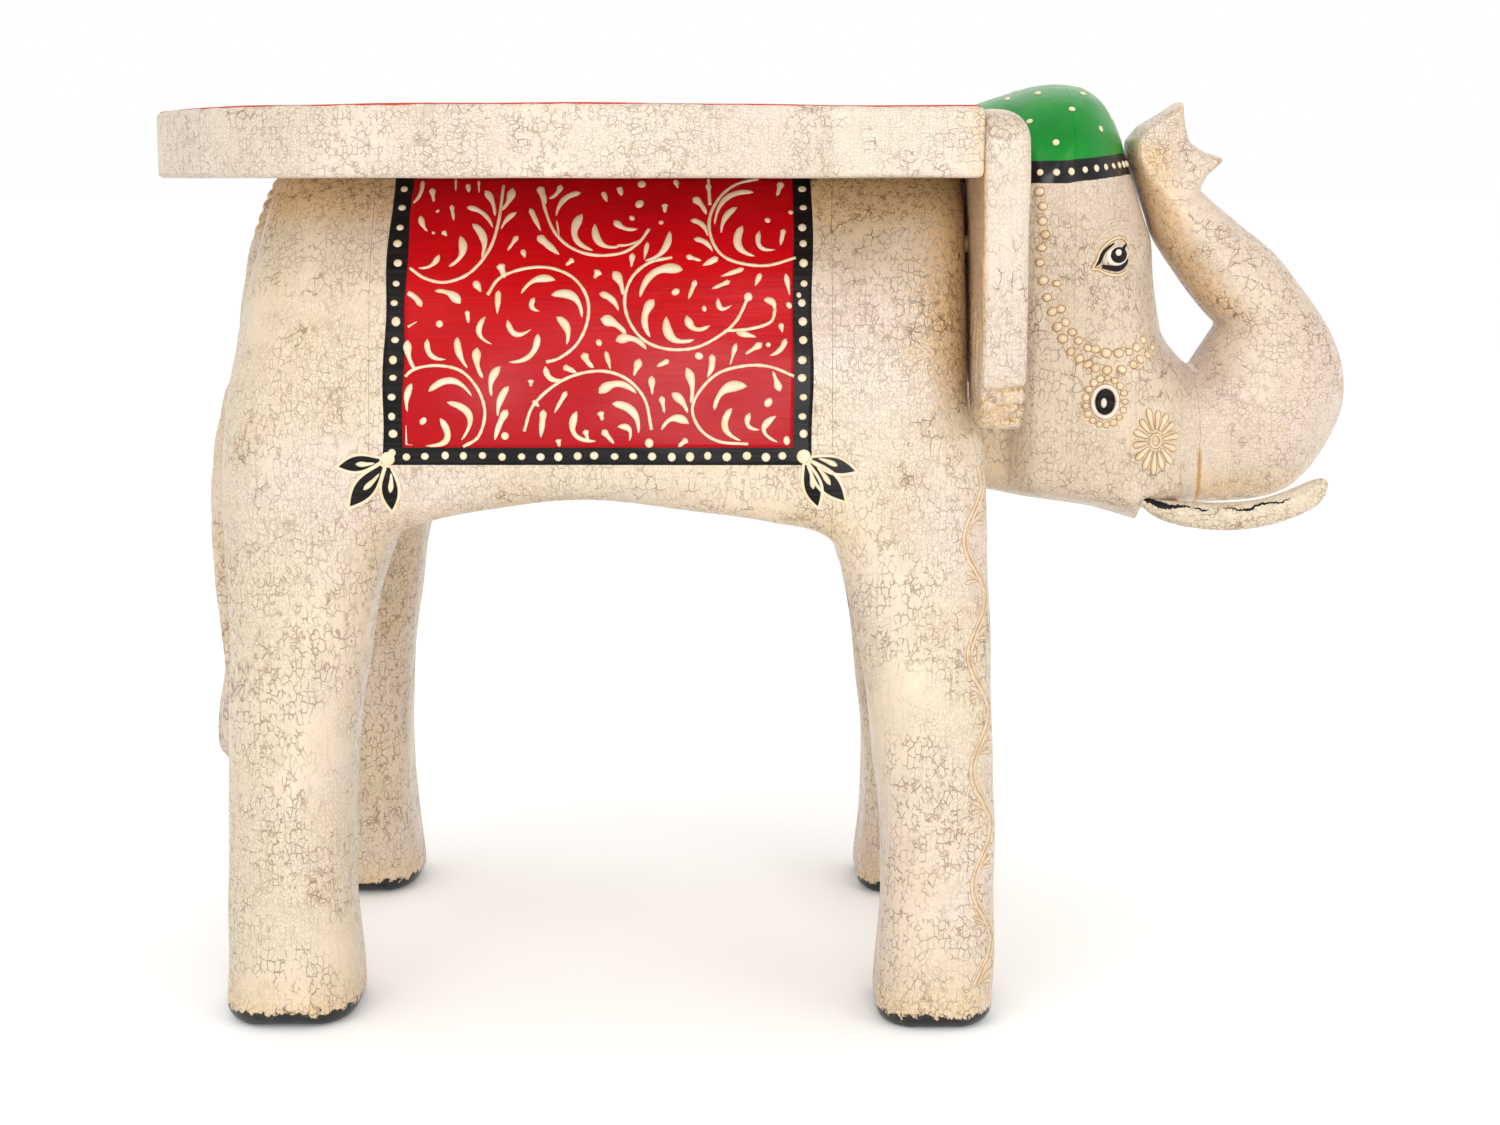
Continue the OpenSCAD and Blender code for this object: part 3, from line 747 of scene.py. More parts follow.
class Ink:
    """Gathers the strokes and dots of one piece."""

    def __init__(self):
        self.points, self.faces, self.marks = [], [], []

    def add(self, points, faces, mark=0):
        start = len(self.points)
        self.points += [tuple(p) for p in points]
        self.faces += [tuple(i + start for i in f) for f in faces]
        self.marks += [mark] * len(faces)

    def stroke(self, places, widths, height=0.36, mark=0):
        """A rounded ridge through (point, normal) places, as wide as widths says at each."""
        kept = [(p, w) for p, w in zip(places, widths) if p]
        if len(kept) < 3:
            return
        p = np.array([q[0] for q, _ in kept])
        n = np.array([q[1] for q, _ in kept])
        w = np.array([w for _, w in kept])[:, None]
        t = np.gradient(p, axis=0)
        t /= np.linalg.norm(t, axis=1)[:, None] + 1e-9
        s = np.cross(n, t)
        s /= np.linalg.norm(s, axis=1)[:, None] + 1e-9
        tall = np.minimum(w * height, 0.9)
        rows = [p + s * w * a + n * (b + tall * c) for a, b, c in STROKE_PROFILE]
        points = np.stack(rows, axis=1).reshape(-1, 3)
        k, m = len(STROKE_PROFILE), len(p)
        faces = [f[::-1] for f in bands(m, k)]
        faces += [tuple(range(k)), tuple((m - 1) * k + j for j in reversed(range(k)))]
        self.add(points, faces, mark)

    def dot(self, place, radius, height=0.5, mark=0, squash=1.0, turn=0.0, sides=12):
        """A dome of paint. squash narrows it across the direction that turn gives."""
        if not place:
            return
        p, n = place
        a = np.cross(n, (0.0, 0.0, 1.0) if abs(n[2]) < 0.9 else (1.0, 0.0, 0.0))
        a /= np.linalg.norm(a)
        b = np.cross(n, a)
        a, b = a * math.cos(turn) + b * math.sin(turn), b * math.cos(turn) - a * math.sin(turn)
        points = [
            p + radius * r * (a * math.cos(t) + b * squash * math.sin(t))
            + n * max(h * 2 * height * radius, -0.15)
            for r, h in DOT_PROFILE for t in np.linspace(0, 2 * math.pi, sides, endpoint=False)
        ]
        points.append(p + n * height * radius)
        top = len(points) - 1
        faces = bands(len(DOT_PROFILE), sides)
        last = (len(DOT_PROFILE) - 1) * sides
        faces += [(last + j, last + (j + 1) % sides, top) for j in range(sides)]
        faces.append(tuple(reversed(range(sides))))
        self.add(points, faces, mark)

    def film(self, rows, lift, mark=0):
        """A thin sheet over rows of places."""
        if all(all(row) for row in rows):
            self.add(*shell(rows, lift), mark)

    def piece(self, name, materials, slot):
        if not self.points:
            raise SystemExit(f"{name} has nothing on it")
        piece = new_object(name, self.points, self.faces, materials)
        piece.data.polygons.foreach_set("material_index", self.marks)
        stand_for(piece, slot)
        return piece


def shell(rows, lift, under=0.35):
    """A thin closed film over rows of (point, normal) places: its points and its faces."""
    top = np.array([[p + n * lift for p, n in row] for row in rows])
    low = np.array([[p - n * under for p, n in row] for row in rows])
    r, c = top.shape[:2]
    points = np.concatenate([top.reshape(-1, 3), low.reshape(-1, 3)])
    index = np.arange(r * c).reshape(r, c)
    corners = [index[:-1, :-1], index[:-1, 1:], index[1:, 1:], index[1:, :-1]]
    quads = np.stack(corners, axis=-1).reshape(-1, 4)
    rim = [*index[0], *index[1:, -1], *index[-1, -2::-1], *index[-2:0:-1, 0]]
    sides = [(a, b, b + r * c, a + r * c) for a, b in zip(rim, rim[1:] + rim[:1])]
    faces = [*quads.tolist(), *(quads[:, ::-1] + r * c).tolist(), *[s[::-1] for s in sides]]
    first = [top[0, 0], top[0, 1], top[1, 0]]
    out = np.cross(first[1] - first[0], first[2] - first[0])
    if np.dot(out, rows[0][0][1]) < 0:
        faces = [f[::-1] for f in faces]
    return points, faces


def sheet_of_paint(skin, zs, reach, lift, name, material, hand):
    """A thin film over the side of the body, at heights zs. reach gives its two ends at a height."""
    ends = reach(zs[0])
    count = int((ends[1] - ends[0]) / SHEET_STEP)
    rows = [[skin.side(x, z, hand) for x in np.linspace(*reach(z), count)] for z in zs]
    points, faces = shell(rows, lift)
    stand_for(new_object(name, points, faces, [material]), "saddle_paint")


def pressed(skin, hand, spine, half_widths, across=7):
    """Rows of places on a side, across a spine of (x, z) points, as wide as half_widths says."""
    spine = np.array(spine, float)
    way = np.gradient(spine, axis=0)
    way /= np.linalg.norm(way, axis=1)[:, None]
    rows = []
    for (x, z), (dx, dz), half in zip(spine, way, half_widths):
        shares = half * np.linspace(-1, 1, across)
        rows.append([skin.side(x - dz * q, z + dx * q, hand) for q in shares])
    return rows


def leaf_widths(count, width, head=0.24, tail=0.2):
    """A comma stroke: a round head, then a long taper."""
    t = np.linspace(0, 1, count)
    rise = np.sqrt(np.clip(1 - ((head - t) / head) ** 2, 0.02, 1))
    fall = 1 - (1 - tail) * np.clip((t - head) / (1 - head), 0, 1) ** 0.9
    end = np.sqrt(np.clip((1 - t) / 0.05, 0.1, 1))
    return width * np.where(t < head, rise, fall) * end


def bent(a, b, bend, count):
    """Points from a to b along an arc that bulges by a share of its length."""
    a, b = np.array(a, float), np.array(b, float)
    t = np.linspace(0, 1, count)[:, None]
    across = np.array([-(b - a)[1], (b - a)[0]])
    return a + (b - a) * t + across * bend * 4 * t * (1 - t)


# The body's blocks


def shade_and_stain_of_body(x, y, z):
    """Painted shade with brown stain: under the seat, beside the ears, in the armpits, and round the soles.
    """
    under_seat = smoothstep(252, 281, z)
    by_ear = (0.5 * smoothstep(34, 62, x) + 0.5 * smoothstep(56, 70, x)) * smoothstep(190, 226, z)
    arch = smoothstep(-140, -125, x) * (1 - smoothstep(25, 40, x)) * smoothstep(183, 166, z) * 0.35
    soles = smoothstep(30, 4, z) * 0.45
    vines = smoothstep(60, 76, x) * smoothstep(68, 76, np.abs(y)) * smoothstep(196, 180, z) * 0.24
    rump = smoothstep(-160, -174, x) * smoothstep(225, 275, z) * 0.35
    inside = smoothstep(60, 50, np.abs(y)) * 0.3
    return np.maximum.reduce([under_seat, by_ear, arch, soles, vines, rump, inside])


def make_body():
    points, quads = surface_of(body_field, (-186, -114, -4), (86, 114, 288), BODY_STEP)
    skin = Skin(points, quads)
    core = mesh_of(points, quads)
    cut(core, (0, 0, SEAT_UNDER), (0, 0, -1))
    blocks = {"core": core}
    for hand, word in HANDS:
        blocks[word] = core.copy()
        cut(blocks[word], (0, hand * (CORE_HALF + SEAM_GAP), 0), (0, hand, 0))
        cut(core, (0, hand * (CORE_HALF - SEAM_GAP), 0), (0, -hand, 0))
    stand_for(finish_mesh(core, "core", [LEG_PAINT], shade_and_stain_of_body), "crackle_paint", "core_block")
    for word in ("left", "right"):
        side = blocks[word]
        parts = {"rear_leg": side, "flank": side.copy(), "front_leg": side.copy()}
        cut(parts["rear_leg"], (REAR_SEAM - SEAM_GAP, 0, 0), (-1, 0, 0))
        cut(parts["flank"], (REAR_SEAM + SEAM_GAP, 0, 0), (1, 0, 0))
        cut(parts["flank"], (FRONT_SEAM - SEAM_GAP, 0, 0), (-1, 0, 0))
        cut(parts["front_leg"], (FRONT_SEAM + SEAM_GAP, 0, 0), (1, 0, 0))
        cut(parts["front_leg"], (NECK_X - SEAM_GAP, 0, 0), (-1, 0, 0), lambda v: v.z > 210)
        for part, bm in parts.items():
            piece = finish_mesh(bm, f"{part}.{word}", [LEG_PAINT], shade_and_stain_of_body)
            slot = "saddle_paint" if part == "flank" else "crackle_paint"
            stand_for(piece, slot, f"{part}_{word}")
    return skin


# The head, ears, trunk and tusks


# Painted shade with brown stain round the raised pearls, button, flower and eye, under the jaw, and at the
# back of the head by the ears.
def shade_and_stain_of_head(x, y, z):
    pearls = np.min([np.hypot(x - a, z - b) for a, b in PEARLS_OUTER + PEARLS_INNER], axis=0)
    button = np.hypot(x - BUTTON[0], z - BUTTON[1])
    flower = np.hypot(x - FLOWER[0], z - FLOWER[1])
    eye = np.hypot(x - EYE[0], z - EYE[1])
    near = [
        0.4 * smoothstep(3.4, 1.6, pearls), 0.3 * smoothstep(10, 8, button),
        0.26 * smoothstep(12.5, 8.5, flower), 0.22 * smoothstep(12, 7, eye),
        0.34 * smoothstep(170, 162, z), 0.34 * smoothstep(90, 85, x),
    ]
    return np.maximum.reduce(near) * smoothstep(20, 30, np.abs(y))


# Painted shade with brown stain in the crease along the face, low down, and at the trunk's top by the cap.
def shade_and_stain_of_trunk(x, y, z):
    inner = np.interp(z, [228, 243, 257, 267, 280], [165, 153, 143, 139, 135])
    by_face = 0.6 * smoothstep(20, 4, x - inner) * smoothstep(226, 236, z) * smoothstep(300, 286, z)
    return np.maximum.reduce([by_face, 0.5 * smoothstep(186, 170, z), 0.35 * smoothstep(296, 303, z)])


# Painted shade with brown stain: on the back face towards the body, low down, in the grooves, and a little
# near the top.
def shade_and_stain_of_ear(x, y, z):
    back = smoothstep(NECK_X + 1.6, NECK_X + 0.4, x) * smoothstep(196, 232, z) * smoothstep(290, 280, z)
    low = 0.5 * smoothstep(226, 206, z)
    return np.maximum.reduce([low, 0.95 * ear_grooves(x, y, z), 0.2 * smoothstep(270, 296, z), 0.6 * back])


def make_head():
    points, quads = surface_of(head_field, (64, -52, 154), (164, 52, 318), HEAD_STEP)
    skin = Skin(points, quads)
    rear = mesh_of(points, quads)
    front = rear.copy()
    cut(rear, (NECK_X + SEAM_GAP, 0, 0), (1, 0, 0))
    cut(rear, (HEAD_SEAM - SEAM_GAP / 2, 0, 0), (-1, 0, 0))
    cut(front, (HEAD_SEAM + SEAM_GAP / 2, 0, 0), (1, 0, 0))
    cut(front, (TRUNK_SEAM - SEAM_GAP, 0, 0), (-1, 0, 0))
    for bm, name in ((rear, "head_rear"), (front, "head_front")):
        stand_for(finish_mesh(bm, name, [HEAD_PAINT], shade_and_stain_of_head), "head_paint", f"{name}_block")
    return skin


def make_trunk():
    bm = mesh_of(*surface_of(trunk_field, (126, -40, 156), (218, 40, 314), HEAD_STEP))
    cut(bm, (TRUNK_SEAM + SEAM_GAP, 0, 0), (1, 0, 0), lambda v: v.z < 222)
    stand_for(finish_mesh(bm, "trunk.carved", [TRUNK_PAINT], shade_and_stain_of_trunk), "crackle_paint", "trunk")


def make_ears():
    points, quads = surface_of(ear_field, (68, 34, 196), (89, 121, 306), EAR_STEP)
    for hand, word in HANDS:
        bm = mesh_of(points * (1, hand, 1), quads[:, ::hand])
        piece = finish_mesh(bm, f"ear.{word}", [EAR_SHADED_PAINT], shade_and_stain_of_ear)
        stand_for(piece, "crackle_paint", f"ear_{word}")


def swept(name, rings, materials, shade_and_stain=None):
    """A closed mesh through rings of points, all with the same count."""
    rings = np.array(rings)
    m, k = rings.shape[:2]
    points = [*rings.reshape(-1, 3), rings[0].mean(0), rings[-1].mean(0)]
    faces = bands(m, k)
    faces += [(m * k, (j + 1) % k, j) for j in range(k)]
    faces += [(m * k + 1, (m - 1) * k + j, (m - 1) * k + (j + 1) % k) for j in range(k)]
    piece = new_object(name, points, faces, materials)
    bm = bmesh.new()
    bm.from_mesh(piece.data)
    bmesh.ops.recalc_face_normals(bm, faces=bm.faces)
    bm.to_mesh(piece.data)
    bm.free()
    if shade_and_stain:
        set_shade_and_stain(piece, shade_and_stain)
    return piece


TUSK_Y = 41.5
TUSK = [
    (132.6, 169.6, 133, 170.6, 0.8), (134, 167.2, 135, 170.4, 2.4), (140, 163, 141, 169.6, 3.9),
    (150, 160, 150, 168.8, 4.8), (164, 158.6, 162, 168.4, 4.9), (179.6, 161, 175.5, 169.9, 4.7),
    (192.2, 165.6, 187, 173.8, 4.2), (196.8, 169.4, 192.4, 176, 3.4), (198.2, 172.6, 196, 176.9, 2.2),
    (198.7, 174.6, 197.7, 176.4, 0.9),
]
TAIL = [
    (-171, 280, -156, 280, 5), (-175.7, 271, -158, 268.5, 6), (-181.6, 253, -162, 251, 7),
    (-186.1, 226, -166, 224, 7), (-187.7, 212, -168, 209, 7), (-191.6, 203.5, -171, 196, 7),
    (-195.6, 187, -176, 182, 7), (-197.6, 171, -180.5, 166, 7), (-198.1, 156, -184, 155, 6.5),
    (-197.3, 133, -185, 133, 6), (-195, 108, -184, 108, 6), (-195.1, 99, -184, 99, 6.2),
    (-197.4, 86, -182.5, 86, 7.6), (-197.6, 74, -186, 75, 6.5), (-194.5, 68, -190, 68.5, 1.8),
]


def tusk_place(station, turn, hand):
    """A point on a tusk and its outward normal, at a turn that starts level and goes over the top."""
    lx, lz, ux, uz, half = station
    low, high = np.array([lx, lz]), np.array([ux, uz])
    middle, reach = (low + high) / 2, (high - low) / 2
    across = math.copysign(abs(math.cos(turn)) ** 0.85, math.cos(turn))
    x, z = middle + reach * math.sin(turn)
    y = TUSK_Y * hand + half * across * hand + 0.15 * math.sin(x / 4 + turn)
    outward = np.array([reach[0] * math.sin(turn), half * across * hand, reach[1] * math.sin(turn)])
    return np.array([x, y, z + 0.15 * math.sin(x / 6)]), outward / np.linalg.norm(outward)


def make_tusks():
    dice = random.Random(17)
    stations = spline(TUSK, 6)
    for hand, word in HANDS:
        turns = np.linspace(0, 2 * math.pi, 28, endpoint=False)
        rings = [[tusk_place(station, turn, hand)[0] for turn in turns] for station in stations]
        # Painted shade with stain on the lowest stretch of each tusk.
        piece = swept(f"tusk.{word}", rings, [TUSK_PAINT], lambda x, y, z: 0.3 * smoothstep(164, 158, z))
        stand_for(piece, "crackle_paint", f"tusk_{word}")
        # Black lines along the top of each tusk, thickest at its root: black paint, and painted shadow in
        # the gap between tusk and cheek.
        cracks = Ink()
        fine = spline(TUSK, 24)
        for start, end, width in ((134, 150.5, 2.4), (151, 157, 0.9), (161, 184, 1.1)):
            reach = [p for p in fine if start <= p[2] <= end]
            turn = [0.68 + 0.14 * math.sin(p[2] / 2.1) + dice.uniform(-0.08, 0.08) for p in reach]
            widths = width * np.sin(np.linspace(0.25, math.pi - 0.25, len(reach)))
            widths *= [dice.uniform(0.65, 1.15) for _ in reach]
            cracks.stroke([tusk_place(p, t, hand) for p, t in zip(reach, turn)], widths, 0.12)
        cracks.piece(f"tusk_paint_and_shadow_lines.{word}", [BLACK_PAINT], "crackle_paint")


def make_tail():
    """A tail that lies down the rump: beaded at its root, smooth below, with a tuft at its end."""
    rings = []
    stations = spline(TAIL, 14)
    for ox, oz, ix, iz, half in stations:
        outer, inner = np.array([ox, oz]), np.array([ix, iz])
        middle, reach = (outer + inner) / 2, (outer - inner) / 2
        z = middle[1]
        tuft, root = smoothstep(96, 90, z), smoothstep(254, 260, z)
        ring = []
        for t in np.linspace(0, 2 * math.pi, 44, endpoint=False):
            c, s = math.cos(t), math.sin(t)
            c, s = math.copysign(abs(c) ** 0.7, c), math.copysign(abs(s) ** 0.7, s)
            bead = abs(math.sin(z / 1.35)) ** 0.5
            strand = abs(math.sin(z / 5.5 + 1.5 * math.sin(t))) ** 0.6
            tassel = abs(math.sin(9 * t + 0.04 * z)) ** 0.6
            depth = 1 - 0.13 * (1 - bead) * root - 0.1 * (1 - tassel) * tuft
            depth -= 0.05 * (1 - strand) * (1 - tuft) * (1 - root)
            x, z_out = middle + reach * c * depth
            ring.append((x, half * s * depth, z_out))
        rings.append(ring)
    # Painted shade with stain, strongest at the tail's root under the seat.
    shade_and_stain = lambda x, y, z: np.maximum(0.12 + 0 * x, 0.75 * smoothstep(254, 266, z))
    piece = swept("tail.carved", rings, [LEG_PAINT], shade_and_stain)
    stand_for(piece, "crackle_paint", "tail")


# The seat


def seat_outline():
    side = EAR_REACH
    a = math.asin(side / SEAT_R)
    back = [
        (SEAT_X + SEAT_R * math.cos(t), SEAT_R * math.sin(t)) for t in np.linspace(a, 2 * math.pi - a, 90)
    ]
    return [(NECK_X - 0.1, side), *back, (NECK_X - 0.1, -side)]


def seat_field(x, y, z):
    plan = outline_distance(seat_outline(), x, y)
    top, under = SEAT_TOP + 0.35, SEAT_UNDER
    f = round_max(plan, z - top, 2.2)
    f = round_max(f, under - z, 0.9)
    return f + hand_carved(x, y, z, 0.12)


# Painted shade with a little stain: darker towards the front end by the ears, and a little all over.
def shade_and_stain_of_seat(x, y, z):
    return 0.05 + 0.4 * smoothstep(62, 71, x)


def make_seat():
    points, quads = surface_of(seat_field, (-217, -154, 277), (74, 154, 306), SEAT_STEP)
    piece = finish_mesh(mesh_of(points, quads), "seat.carved", [SEAT_PAINT], shade_and_stain_of_seat)
    stand_for(piece, "seat_paint", "seat_top", "seat_screw_plugs")
    return Skin(points, quads)


def make_seat_top(skin):
    """The seat's painted top, which is a guess: a dotted ring, and scrolls with leaves round a rosette."""
    dice = random.Random(13)
    ring, scrolls, dots = Ink(), Ink(), Ink()

    def on(radius, turn, lift=0.0):
        above = (SEAT_X + radius * math.cos(turn), radius * math.sin(turn), 400)
        place, normal = skin.at(above, (0, 0, -1))
        return place + normal * lift, normal

    turns = np.linspace(0, 2 * math.pi, 181)
    for inner, outer in ((118, 126), (31, 35)):
        ring.film([[on(radius, turn) for turn in turns] for radius in np.linspace(inner, outer, 4)], 0.1)
    for count, radius, size in ((96, 122, 1.7), (28, 33, 1.1)):
        for k in range(count):
            place = on(radius, 2 * math.pi * k / count + dice.uniform(-0.004, 0.004), 0.1)
            dots.dot(place, size * dice.uniform(0.85, 1.1), 0.4, squash=dice.uniform(0.8, 1.1))
    for k in range(12):
        turn = 2 * math.pi * k / 12
        scrolls.stroke([on(r, turn) for r in np.linspace(26, 7, 12)], leaf_widths(12, 4.2), 0.3)
    scrolls.dot(on(0, 0), 3.2, 0.3, sides=20)
    for k in range(10):
        middle = 2 * math.pi * k / 10
        hub = np.array([76 * math.cos(middle), 76 * math.sin(middle)])
        way = 1 if k % 2 else -1

        def about(reach, turn):
            x, y = hub + reach * np.array([math.cos(turn), math.sin(turn)])
            return on(math.hypot(x, y), math.atan2(y, x))

        curl = [about(19.5 - 15.5 * q, middle + way * (math.pi + 9.2 * q)) for q in np.linspace(0, 1, 90)]
        scrolls.stroke(curl, [1.2 + 0.3 * dice.random() for _ in curl], 0.4)
        for m in range(9):
            turn = middle + 2 * math.pi * m / 9
            leaf = [about(r, turn + way * 0.02 * (r - 23)) for r in np.linspace(33, 22.5, 10)]
            scrolls.stroke(leaf, leaf_widths(10, 3.2), 0.3)
        scrolls.dot(about(0, 0), 2.2, 0.3)
    ring.piece("seat_ring", [BLACK_PAINT], "seat_paint")
    scrolls.piece("seat_scrolls", [SLIP_PAINT], "seat_paint")
    dots.piece("seat_dots", [SLIP_PAINT], "seat_paint")


# The saddle cloth

CLOTH = (-123.5, 18.5, 187.0)
FIELD = (-117.0, 12.2, 192.7)
FIELD_TOP = 280.0
SHEET_STEP = 1.3

STEMS = [
    [(32.8, 2.7), (31.7, 15.2), (28.9, 23.9), (22.8, 31), (15, 33.9), (8.3, 32.6), (3.3, 29.3)],
    [
        (45, 3.3), (47.2, 10.9), (50.6, 17.9), (56.1, 22.8), (63.9, 25.2), (72.8, 24.5), (78.3, 21.2),
        (81.7, 16.8),
    ],
    [
        (117.8, 0.5), (110.6, 2.2), (105, 6.5), (101.7, 13), (102.2, 19.6), (105.6, 25), (111.7, 27.7),
        (120.6, 28.5), (130, 26),
    ],
    [(101.1, 0.5), (101.3, 4.5), (101.7, 9)],
    [
        (28.9, 38), (32.8, 32.6), (40.6, 29.6), (49.4, 29.3), (57.2, 32.6), (61.7, 39.1), (61.7, 46.7),
        (58.3, 53.8), (52.8, 58.2), (48.3, 59.6),
    ],
    [
        (89.4, 25.9), (81.7, 27.7), (76.1, 32.6), (73.9, 39.7), (75.6, 46.7), (80.6, 52.7), (88.3, 55.4),
        (97.2, 54.9), (105, 51.1), (110.6, 46.2), (114.4, 38.6),
    ],
    [(106.7, 49.5), (115, 48.9), (121.7, 46.7), (123.3, 42.4)],
    [
        (0.6, 66.3), (5, 62), (12.8, 60.7), (20.6, 62.5), (26.1, 68.5), (28.3, 76.1), (26.1, 83.7),
        (21.1, 87),
    ],
    [
        (41.1, 82), (43.9, 73.9), (50.6, 67.4), (58.3, 63.6), (67.2, 62.5), (75, 65.2), (80.6, 71.7),
        (82.8, 81.5),
    ],
    [
        (129.4, 64.1), (121.7, 61.1), (113.9, 60.7), (105, 63), (98.9, 68.5), (96.1, 75), (98.9, 81.5),
        (105, 85.3), (114.4, 86.1),
    ],
]
